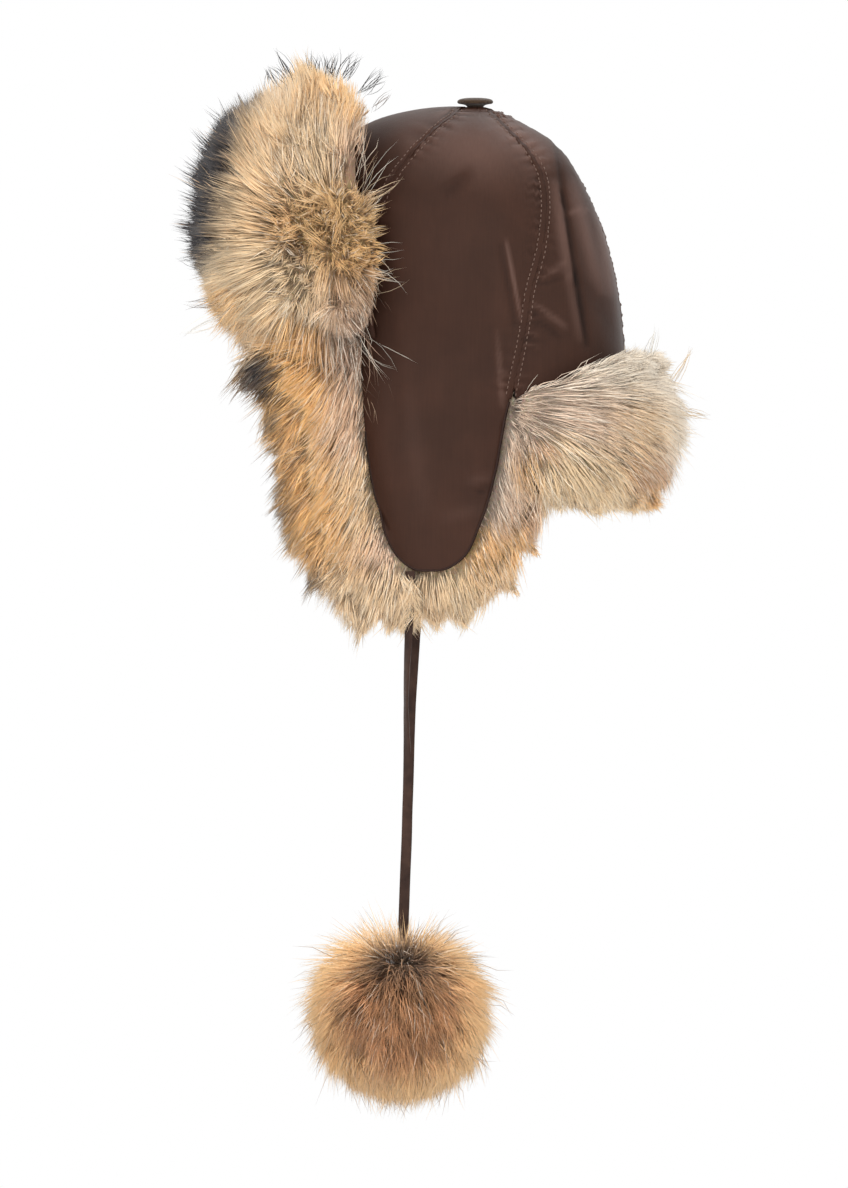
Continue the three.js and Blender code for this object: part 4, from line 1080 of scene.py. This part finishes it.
# Hairs of one tuft lean together towards their tips and share a tone.
def gatherTufts(coat, rng, line, size, stations):
    count = len(size)
    leaders = rng.choice(count, min(coat["tufts"], count), replace=False)
    places = line[0] + (line[-1] - line[0]) * hairRules["gatherAt"]
    tree = KDTree(len(leaders))
    for number, leader in enumerate(leaders):
        tree.insert(places[leader], number)
    tree.balance()
    found = [tree.find(place)[1:] for place in places]
    tuft = np.array([number for number, _ in found])
    apart = np.array([distance for _, distance in found])
    pull = coat["pull"] * rng.uniform(0.4, 1.3, len(leaders))[tuft] * (1 - apart / coat["tuftReach"]).clip(0, 1)
    lean = rng.normal(size=(len(leaders), 3))[tuft] * coat["lean"]
    for k, station in enumerate(stations[1:], 1):
        gather = (line[k][leaders][tuft] - line[k]) * pull[:, None]
        line[k] = line[k] + (gather + lean * size[:, None]) * station ** hairRules["gatherCurve"]
    tone = (1 + coat["toneSpread"] * rng.normal(size=len(leaders)).clip(-2, 2))[tuft]
    return tone * (1 + hairRules["toneJitter"] * rng.normal(size=count).clip(-2, 2))


# The dye where the hair lies, scaled along each hair by the coat's shade: darker at the root, where the roots'
# own tone is joined by painted shade deep in the coat, and painted light towards the tip; some hairs pale or
# dark, some tips black.
def hairColours(coat, rng, line, points, tone, stations):
    count, per = points.shape[:2]
    middle = line[0] * 0.45 + line[-1] * 0.55 + rng.normal(size=(count, 3)) * coat["wander"]
    hue = coat["colourOf"](middle) * tone[:, None]
    strong = rng.random(count)[:, None]
    hue = np.where(strong < coat["paleShare"], hue + (dye("frost") - hue) * coat["pale"], hue)
    hue = np.where(strong > 1 - coat["darkShare"], hue + (dye("shadow") - hue) * coat["dark"], hue)
    upHair = np.array([0] + [s for s in stations[1:-1] for _ in range(3)] + [1])
    # painted shade at the root and painted light at the tip
    shade = np.interp(upHair, [0, 0.4, 1], coat["shade"])
    colour = np.repeat(hue, per, 0) * np.tile(shade, count)[:, None]
    jitter = np.repeat(rng.normal(size=(count, 3)) * hairRules["inkJitter"], per, 0)
    ink = coat["inkOf"](points.reshape(-1, 3) + jitter)
    ink *= np.tile(np.interp(upHair, [0.0, 0.3], [0.4, 1]), count)
    ink *= np.repeat(rng.random(count) < hairRules["inked"], per)
    black = dye("charcoal") * np.repeat(rng.uniform(0.5, 1.8, count), per)[:, None]
    return colour * (1 - ink)[:, None] + black * ink[:, None]


def growHair(name, skin, form, coat, directionOf):
    rng = np.random.default_rng(coat["seed"])
    roots, normals = scatterOn(skin, int(coat["count"] * coat["spare"]), rng)
    chosen = rng.random(len(roots)) < coat["grows"](roots, normals)
    roots, normals = roots[chosen], normals[chosen]
    lie = directionOf(roots)
    facing = along(lie, normals)
    lie -= normals * (facing * np.where(facing < 0, 1, 0.8))[:, None]
    lie += sideways(roots) * np.clip(-facing - 0.3, 0, 1)[:, None]
    lie = unit(lie) * coat["lay"]
    size = coat["length"] * (1 + coat["uneven"] * rng.normal(size=len(roots)).clip(-1.6, 1.6))
    size *= np.interp(fromWhorl(roots), [0.0, coat["near"]], [coat["nearShare"], 1])
    jitter = rng.normal(size=(len(roots), 3)) * coat["jitter"]
    begin = unit(normals * coat["rise"] + lie + jitter)
    finish = unit(normals * coat["fall"] + lie + jitter * hairRules["tipJitter"])
    reach = (begin * 0.45 + finish * 0.55) * size[:, None]
    size *= lengthShares(form, coat, rng, roots, normals, reach) * rng.uniform(0.9, 1.06, len(roots))
    stations = np.linspace(0, 1, coat["rings"] + 2) ** hairRules["bend"]
    line = [roots]
    for low, high in zip(stations[:-1], stations[1:]):
        middle = (low + high) / 2
        heading = unit(begin * (1 - middle) + finish * middle)
        line.append(line[-1] + heading * (size * (high - low))[:, None])
    keep = clearOfCloth(roots, line[-1], normals, coat["room"]) & coat["keeps"](line[-1])
    keep &= keep.cumsum() <= coat["count"]
    line, normals, size = [points[keep] for points in line], normals[keep], size[keep]
    tone = gatherTufts(coat, rng, line, size, stations)

    # a wave across each hair
    sway = unit(np.cross(unit(line[-1] - line[0]), rng.normal(size=(len(size), 3))))
    for k in range(1, len(line) - 1):
        line[k] = line[k] + sway * (size * coat["wave"] * rng.normal(size=len(size)))[:, None]
    piece, points = hairMesh(name, line, coat["width"] * rng.uniform(0.6, 1.3, len(size)), normals)
    setHairCoat(piece, hairColours(coat, rng, line, points, tone, stations))
    piece.data.materials.append(furHair)
    print(name, len(size), "hairs")
    return finishPiece(piece, "fur")


# The underfur takes the coat's colour darkened by share, painted shade under the hair, and black where the tips
# are inked.
def colourSkin(skin, colourOf, share, inkOf):
    places = readVectors(skin.data.vertices, "co")
    ink = inkOf(places)[:, None]
    setCoat(skin, colourOf(places) * share * (1 - ink) + dye("charcoal") * 0.6 * ink)
    shadeSmooth(skin)


# Black tips: strength inside the reach of each mark, in side view.
inkMarks = table(
    "y z reach ink",
    (-152, 212, 6, 0.7), (-128, 217, 7, 0.8), (-106, 214, 6, 0.7), (-170, -22, 12, 1), (-164, -36, 8, 0.9),
    (-161, -60, 8, 0.9), (-164, -84, 7, 0.8), (-162, -110, 10.5, 1), (-157, -131, 10.5, 1),
    (-152, -150, 8, 0.8), (-134, -178, 9, 0.9),
)
# The peak's hair is black in front of this line.
inkLine = table(
    "z y",
    (50, -214), (63, -207), (77.7, -200), (92.5, -198.3), (107, -195.4), (122, -192.4), (137, -189.5),
    (152, -183.5), (166.5, -182), (184, -170), (196, -162),
)


def coatInk(places):
    y, z = places[:, 1] / mm, places[:, 2] / mm
    line = np.interp(z, column(inkLine, "z"), column(inkLine, "y"))
    ink = np.clip((line + 3 - y) / 6, 0, 1) * np.interp(z, [40, 52, 190, 200], [0, 1, 1, 0.3])
    for mark in inkMarks:
        away = ((y - mark["y"]) ** 2 + (z - mark["z"]) ** 2) / mark["reach"] ** 2
        ink = np.maximum(ink, mark["ink"] * np.exp(-(away**2)))
    return ink


def noInk(places):
    return np.zeros(len(places))


def everywhere(places, normals):
    return np.ones(len(places))


def anyTip(tips):
    return np.ones(len(tips), bool)


commonCoat = {
    "rings": 1, "uneven": 0.18, "jitter": 0.09, "rise": 0.55, "fall": 0.06, "lay": 1.0, "pull": 0.3,
    "lean": 0.04, "toneSpread": 0.1, "wave": 0.03, "width": 0.0006, "wander": 0.004,
    "shade": [0.78, 1.05, 1.15], "paleShare": 0.16, "pale": 0.5, "darkShare": 0.08, "dark": 0.6,
    "spare": 1.6, "near": 0.05, "nearShare": 1,
    "over": 0.001, "overSpread": 0.003, "edge": 0.0, "past": 0.0025, "deepest": 0.016, "room": 0.0012,
    "tuftReach": 0.012, "outlined": True, "neighbours": [], "colourOf": coatColour, "inkOf": coatInk,
    "grows": everywhere, "keeps": anyTip,
}


# The long hair grows thin where the whorl's own curls stand.
def aroundWhorl(places, normals):
    return np.interp(fromWhorl(places), [0.024, 0.038], [0.05, 1])


def onPeak(places, normals):
    bare = (places[:, 1] > -0.099) & (places[:, 2] > 0.108) & (places[:, 2] < 0.168)
    return aroundWhorl(places, normals) * np.where(bare, 0.06, 1)


def atWhorl(places, normals):
    return np.interp(fromWhorl(places), [0.034, 0.044], [1, 0])


# The fringe stands along the peak's front edge, down to its lower corner.
def alongFront(places, normals):
    return (normals[:, 1] < -0.5) & (places[:, 2] > 0.035) & (np.abs(places[:, 0]) > 0.03)


# The cloth shows in a wedge at the peak's upper end.
def outOfWedge(tips):
    wedge = (tips[:, 1] > -0.103) & (tips[:, 2] > 0.116) & (tips[:, 2] < 0.158) & (np.abs(tips[:, 0]) > 0.03)
    return ~wedge


# Along the front edge of each ear flap, where dark tips stand in groups.
def earFront(places, normals):
    return (normals[:, 1] < -0.35) & (places[:, 1] < -0.085) & (places[:, 2] < 0)


# Short hair comes out from under the cloth's edge.
def besideCloth(places, normals):
    return np.interp(outsideOf(clothTree, places, deepest=0), [0.004, 0.009], [1, 0])


def besideTie(places, normals):
    near = (np.abs(places[:, 1] + 0.057) < 0.012) & (places[:, 2] > -0.2) & (places[:, 2] < -0.163)
    return near & (np.abs(normals[:, 0]) > 0.2)


# Where the ear flap's and the neck flap's furs meet below the back seam.
def atCorner(places, normals):
    near = (places[:, 1] > 0.004) & (places[:, 1] < 0.034) & (places[:, 2] > -0.052) & (places[:, 2] < -0.03)
    return near & (np.abs(normals[:, 0]) > 0.1)


def backwards(places):
    turn = np.radians(np.interp(places[:, 2], [-0.058, -0.034], [-38, 32]))
    return np.stack([places[:, 0] * 0, np.cos(turn), np.sin(turn)], 1)


def overTie(places):
    across = -0.0575 - places[:, 1]
    return unit(np.stack([np.sign(places[:, 0]) * 0.25, across * 60, np.full(len(places), -1.0)], 1))


peakCoat = dict(
    commonCoat, seed=11, count=29000, length=0.055, tufts=800, deepest=0.026, near=0.075, nearShare=0.5,
    grows=onPeak, keeps=outOfWedge, spare=2.2, rise=0.5, pull=0.22, edge=0.013, paleShare=0.2, darkShare=0.1,
)
peakGuard = dict(
    peakCoat, seed=12, count=5000, length=0.065, tufts=600, rings=2, width=0.00045, over=0.003,
    overSpread=0.005, rise=0.6, pull=0.35, jitter=0.16, paleShare=0.4, pale=0.7, darkShare=0.14, edge=0.014,
)
peakFringe = dict(
    commonCoat, seed=16, count=9500, length=0.045, tufts=190, deepest=0.026, rise=0.8, fall=0.5, pull=0.8,
    lean=0.1, grows=alongFront, spare=12, paleShare=0.0, width=0.0008, over=0.014, overSpread=0.005,
    tuftReach=0.016, edge=0.004, past=0.014,
)
# the curls are darkest at the root: painted shadow between the curls
whorlCurls = dict(
    commonCoat, seed=15, count=8500, length=0.0125, tufts=620, deepest=0.026, rise=1.2, fall=0.7, lay=0.15,
    pull=0.85, lean=0.5, jitter=0.14, grows=atWhorl, spare=30, shade=[0.3, 0.95, 1.25], wave=0.12, over=0.004,
    tuftReach=0.006, paleShare=0.1,
)
earCoat = dict(
    commonCoat, count=23500, length=0.052, tufts=800, rise=0.36, fall=-0.06, over=0.0015, pull=0.14,
    shade=[1.05, 1.22, 1.35], darkShare=0.05, edge=0.01, paleShare=0.2, jitter=0.07, lean=0.03, room=0.003,
)
earFringe = dict(
    commonCoat, seed=18, count=2600, length=0.04, tufts=90, rise=0.45, fall=0.2, pull=0.75, lean=0.08,
    grows=earFront, spare=12, over=0.013, overSpread=0.006, tuftReach=0.015, darkShare=0.35, past=0.014,
)
hemCoat = dict(
    earCoat, seed=23, count=2200, length=0.03, tufts=200, grows=besideCloth, spare=12, rise=0.5, edge=0.0,
    shade=[0.8, 1.1, 1.25], room=0.0012,
)
tieCover = dict(
    commonCoat, seed=19, count=1500, length=0.034, tufts=60, rise=0.9, fall=0.3, grows=besideTie, spare=80,
    over=0.013, overSpread=0.002, jitter=0.16, shade=[0.6, 1.05, 1.25],
)
cornerTuft = dict(
    commonCoat, seed=21, count=1600, length=0.04, tufts=50, rise=0.7, fall=0.0, grows=atCorner, spare=60,
    room=0.004, over=0.009, overSpread=0.004, pull=0.4, darkShare=0.0, shade=[0.95, 1.05, 1.15], paleShare=0.3,
)
neckCoat = dict(
    commonCoat, seed=14, count=21000, length=0.065, tufts=380, deepest=0.022, rise=0.4, fall=-0.04, over=0.0015,
    overSpread=0.004, pull=0.25, toneSpread=0.13, shade=[0.88, 1.14, 1.28], edge=0.013, past=0.004, uneven=0.22,
)
neckGuard = dict(
    neckCoat, seed=17, count=2000, length=0.075, tufts=260, rings=2, width=0.00045, over=0.004, rise=0.5,
    pull=0.45, jitter=0.13, paleShare=0.4, pale=0.6, darkShare=0.25, dark=0.75,
)
# sparse long hairs that stand clear of the rest
strayCoat = dict(
    commonCoat, count=380, length=0.055, tufts=380, rings=3, rise=0.8, fall=0.3, jitter=0.3, pull=0,
    width=0.0004, wave=0.06, over=0.005, overSpread=0.004, darkShare=0.45, dark=0.85, spare=2.5,
)
earStrays = dict(strayCoat, seed=37, count=200, tufts=200, length=0.045)


# The peak's fur draws in beside the crown, where its cloth is bare, and along its front edge.
def bareEnds(places):
    past = np.clip((places[:, 1] + 0.1) / 0.02, 0, 1) * np.clip((places[:, 2] - 0.095) / 0.02, 0, 1)
    past *= np.clip((0.175 - places[:, 2]) / 0.015, 0, 1)
    places[:, 1] -= 0.015 * past
    front = np.clip((-0.165 - places[:, 1]) / 0.012, 0, 1)
    front *= np.interp(places[:, 2], [0.045, 0.06, 0.155, 0.175], [0, 1, 1, 0])
    places[:, 1] -= 0.008 * front
    return places


def asItIs(places):
    return places


# The neck flap's fur reaches under the ear flap's.
def forwardEnds(places):
    places[:, 1] -= 0.009 * np.clip((0.052 - places[:, 1]) / 0.02, 0, 1)
    return places


peltShapes = table(
    "node name voxel smoothing depth inner outward trim",
    ("peak_fur", "peak_underfur", 0.004, 36, 0.017, 0.1, fromAxis, bareEnds),
    ("ear_flap_fur_left", "ear_underfur_left", 0.0035, 14, 0.009, 0.35, sideways, asItIs),
    ("ear_flap_fur_right", "ear_underfur_right", 0.0035, 14, 0.009, 0.35, sideways, asItIs),
    ("neck_fur", "neck_underfur", 0.004, 20, 0.013, 0.1, fromAxis, forwardEnds),
)
pelts = {shape["node"]: makeSkin(shape) for shape in peltShapes}
for node, (skin, _) in pelts.items():
    # underfur at 0.8 of the coat's colour: painted shade under the hair
    colourSkin(skin, coatColour, 0.8, coatInk)
    finishPiece(skin, "fur", node)


def growOn(name, node, coat, directionOf):
    neighbours = [form for other, (_, form) in pelts.items() if other != node]
    return growHair(name, *pelts[node], dict(coat, neighbours=neighbours), directionOf)


def thinned(coat, share, **values):
    return dict(coat, count=int(coat["count"] * share), **values)


growOn("peak_hair", "peak_fur", peakCoat, peakDirection)
growOn("peak_guard_hair", "peak_fur", peakGuard, peakDirection)
growOn("peak_fringe", "peak_fur", peakFringe, peakDirection)
growOn("peak_whorl_curls", "peak_fur", whorlCurls, peakDirection)
growOn("peak_stray_hair", "peak_fur", dict(strayCoat, seed=31, grows=aroundWhorl), peakDirection)
for sideName, share, seed in (("left", 1, 30), ("right", 0.36, 23)):
    for name, coat, directionOf in (
        ("ear_flap_hair_", thinned(earCoat, share, seed=seed), lieDirection),
        ("hem_hair_", thinned(hemCoat, share), lieDirection),
        ("ear_flap_fringe_", thinned(earFringe, share), lieDirection),
        ("corner_hair_", cornerTuft, backwards),
        ("tie_cover_hair_", tieCover, overTie),
        ("ear_flap_stray_hair_", earStrays, lieDirection),
    ):
        growOn(name + sideName, "ear_flap_fur_" + sideName, coat, directionOf)
growOn("neck_hair", "neck_fur", neckCoat, lieDirection)
growOn("neck_guard_hair", "neck_fur", neckGuard, lieDirection)
growOn("neck_stray_hair", "neck_fur", dict(strayCoat, seed=35), lieDirection)

# Single long hairs that show against the cloth or the air, root and tip in side view.
lineHairs = table(
    "root tip hairs dye",
    ((-145, 199), (-154, 217), 5, "charcoal"), ((-160, 198), (-163, 205), 4, "charcoal"),
    ((-151, 195), (-160, 206), 4, "charcoal"), ((-128, 206), (-129, 217), 4, "charcoal"),
    ((-123, 200), (-124, 213), 5, "charcoal"), ((-117, 202), (-118, 214), 5, "charcoal"),
    ((-114, 203), (-112, 216), 5, "charcoal"), ((-107, 200), (-98, 217), 5, "charcoal"),
    ((-102, 202), (-94, 213), 4, "charcoal"), ((-91, 190), (-77, 205), 5, "charcoal"),
    ((-83, 190), (-74, 197), 3, "charcoal"), ((-78, 178), (-69, 186), 3, "umber"),
    ((-97, 110), (-82, 140), 3, "cream"), ((-90, 108), (-63, 129), 3, "cream"),
    ((-88, 112), (-68, 144), 3, "frost"), ((-90, 106), (-69, 117), 3, "cream"),
    ((-86, 70), (-62, 74), 3, "frost"), ((-84, 68), (-70, 66), 3, "umber"),
    ((-84, 60), (-76, 42), 2, "cream"), ((-84, 54), (-66, 56), 3, "frost"),
    ((-82, 40), (-56, 52), 3, "cream"), ((-86, 53), (-56, 42), 3, "frost"),
    ((-80, 34), (-69, 27), 2, "umber"), ((-90, 4), (-66, -20), 4, "frost"),
    ((-92, -8), (-74, -34), 4, "umber"), ((-94, -30), (-80, -62), 4, "taupe"),
    ((-200, 60), (-228, 64), 5, "charcoal"), ((-198, 36), (-222, 30), 4, "umber"),
    ((-196, 20), (-226, 6), 3, "frost"), ((140, -24), (152, -2), 4, "cream"),
    ((120, -8), (126, 12), 4, "frost"), ((146, -50), (166, -52), 5, "cream"),
)
lineSetup = {"seed": 51, "width": 0.00042, "bow": 0.16, "startSpread": 0.0012, "tipSpread": 0.0018,
             "tipSpreadOnCloth": 0.0055, "under": 0.008, "rootSink": 0.003, "tipLift": 0.005}


def drawHairs(rows, tree, rng):
    starts, ends, hues = [], [], []
    for row in rows:
        overCloth = -0.1 < row["tip"][0] * mm < 0 and row["tip"][1] < 160
        spread = lineSetup["tipSpreadOnCloth" if overCloth else "tipSpread"]
        for number in range(2 * row["hairs"]):
            side = 1 if number < row["hairs"] else -1
            start = np.array([0, *row["root"]]) * mm + rng.normal(size=3) * lineSetup["startSpread"]
            end = np.array([0, *row["tip"]]) * mm + rng.normal(size=3) * spread
            start -= (end - start) * lineSetup["under"] / np.linalg.norm(end - start)
            for point, lift in ((start, -lineSetup["rootSink"]), (end, lineSetup["tipLift"])):
                hit = metFromSide(tree, side, point)
                point[0] = rng.uniform(0.02, 0.07) * side if hit is None else hit.x + side * lift
            if abs(start[0]) < 0.02:
                start[0] = end[0]
            if metFromSide(tree, side, end) is None:
                end[0] = start[0] + side * rng.uniform(-0.006, 0.006)
            starts.append(start)
            ends.append(end)
            hues.append(dye(row["dye"]) * rng.uniform(0.45, 0.95))
    return np.array(starts), np.array(ends), np.array(hues)


def makeLineHairs():
    rng = np.random.default_rng(lineSetup["seed"])
    tree = surfaceTree(shellPanels + clothWalls + [skin for skin, _ in pelts.values()])
    starts, ends, hues = drawHairs(lineHairs, tree, rng)
    bow = rng.uniform(-lineSetup["bow"], lineSetup["bow"], len(starts))
    bow = np.cross(ends - starts, np.array([1.0, 0, 0])) * bow[:, None]
    line = [starts + (ends - starts) * s + bow * 4 * s * (1 - s) for s in (0, 0.25, 0.5, 0.75, 1)]
    upright = np.tile(np.array([0.0, 0.3, 0.3]), (len(starts), 1))
    piece, points = hairMesh("long_single_hairs", line, np.full(len(starts), lineSetup["width"]), upright)
    setHairCoat(piece, np.repeat(hues, points.shape[1], 0))
    piece.data.materials.append(furHair)
    return finishPiece(piece, "fur")


makeLineHairs()
print("hat fur ready")

pompomSetup = {
    "x": 82, "z": -495, "leftY": -63.4, "rightY": -63, "core": 43, "form": 70.5, "formRise": 7.5, "parting": 46,
    "dimple": 0.012, "dimpleReach": 0.014,
}


def makePompomCore(name, centre):
    core = addShape(
        bpy.ops.mesh.primitive_ico_sphere_add, name, subdivisions=5, radius=pompomSetup["core"] * mm,
        location=tuple(centre),
    )
    places = readVectors(core.data.vertices, "co")
    # a dimple where the tie enters
    hole = centre + np.array([0, 0, pompomSetup["core"] * mm])
    close = np.linalg.norm(places - hole, axis=1)
    places[:, 2] -= pompomSetup["dimple"] * np.exp(-((close / pompomSetup["dimpleReach"]) ** 2))
    movePoints(core.data, places)
    core.data.materials.append(underfur)
    return core


# The pompom's outer form, which its hair fills.
def pompomForm(centre):
    ball = addShape(
        bpy.ops.mesh.primitive_ico_sphere_add, "pompom_form", subdivisions=4, radius=pompomSetup["form"] * mm,
        location=(centre[0], centre[1], centre[2] + pompomSetup["formRise"] * mm),
    )
    form = surfaceTree([ball])
    bpy.data.objects.remove(ball)
    return form


def pompomFields(centre):
    hole = centre + np.array([0.008 * np.sign(centre[0]), 0, pompomSetup["parting"] * mm])

    def direction(places):
        return unit(places - hole)

    # russet in the middle, gold all round, grey where the tie enters
    def colour(places):
        y, z = (places[:, 1] - centre[1]) / mm, (places[:, 2] - centre[2]) / mm
        out = np.linalg.norm(places - centre, axis=1) / 0.068
        rim = np.clip((np.hypot(y, z - 2) - 36) / 20, 0, 1)[:, None]
        top = np.exp(-((y / 30) ** 2) - ((z - 42) / 15) ** 2)[:, None]
        body = dye("russet") * 1.05 * (1 - rim) + (dye("gold") * 0.95 + dye("wheat") * 0.65) * rim
        body = body * (1 - top) + dye("taupe") * 0.42 * top
        return body * np.clip(0.7 + 0.5 * out, 0, 1.25)[:, None]

    def clearOfTie(places, normals):
        near = (np.abs(places[:, 1] - centre[1]) < 0.011) & (places[:, 2] > centre[2] + 0.036)
        return ~(near & (places[:, 0] * np.sign(centre[0]) > abs(centre[0]) - 0.012))

    return direction, colour, clearOfTie


pompomCoat = dict(
    commonCoat, deepest=0.075, length=0.05, tufts=420, rise=0.62, fall=0.12, jitter=0.2, wave=0.05, lean=0.09,
    toneSpread=0.2, darkShare=0.24, inkOf=noInk, outlined=False, paleShare=0.04, over=0.0, overSpread=0.0045,
    uneven=0.25, shade=[0.8, 1.08, 1.25],
)
pompomStrays = {
    "count": 500, "length": 0.06, "tufts": 500, "rings": 3, "pull": 0, "jitter": 0.25, "over": 0.008,
    "overSpread": 0.005, "width": 0.00042, "darkShare": 0.7, "dark": 0.9,
}
for sideName, side, count in (("left", 1, 20000), ("right", -1, 7500)):
    at = np.array([side * pompomSetup["x"], pompomSetup[sideName + "Y"], pompomSetup["z"]]) * mm
    direction, colour, clearOfTie = pompomFields(at)
    skin, form = makePompomCore("pompom_core_" + sideName, at), pompomForm(at)
    # the core at half the hair's colour: painted shade inside the pompom
    colourSkin(skin, colour, 0.5, noInk)
    finishPiece(skin, "fur", "pompom_" + sideName)
    coat = dict(pompomCoat, count=count, seed=40 + side, colourOf=colour, grows=clearOfTie)
    hair = growHair("pompom_hair_" + sideName, skin, form, coat, direction)
    loose = {**coat, **pompomStrays, "seed": 60 + side}
    strays = growHair("pompom_stray_hair_" + sideName, skin, form, loose, direction)
    ties[sideName]["pompom"] = [skin, hair, strays]
print("pompoms ready")

for sideName, tie in ties.items():
    loop = copyNode("pompom_loop_" + sideName, "thread_knot_" + sideName)
    subdivide(loop, 2)
    shadeSmooth(loop)
    loop.data.materials.append(loopThread)
    finishPiece(loop, "thread", "pompom_loop_" + sideName)
    path = tie["path"]
print("knots and cords ready")
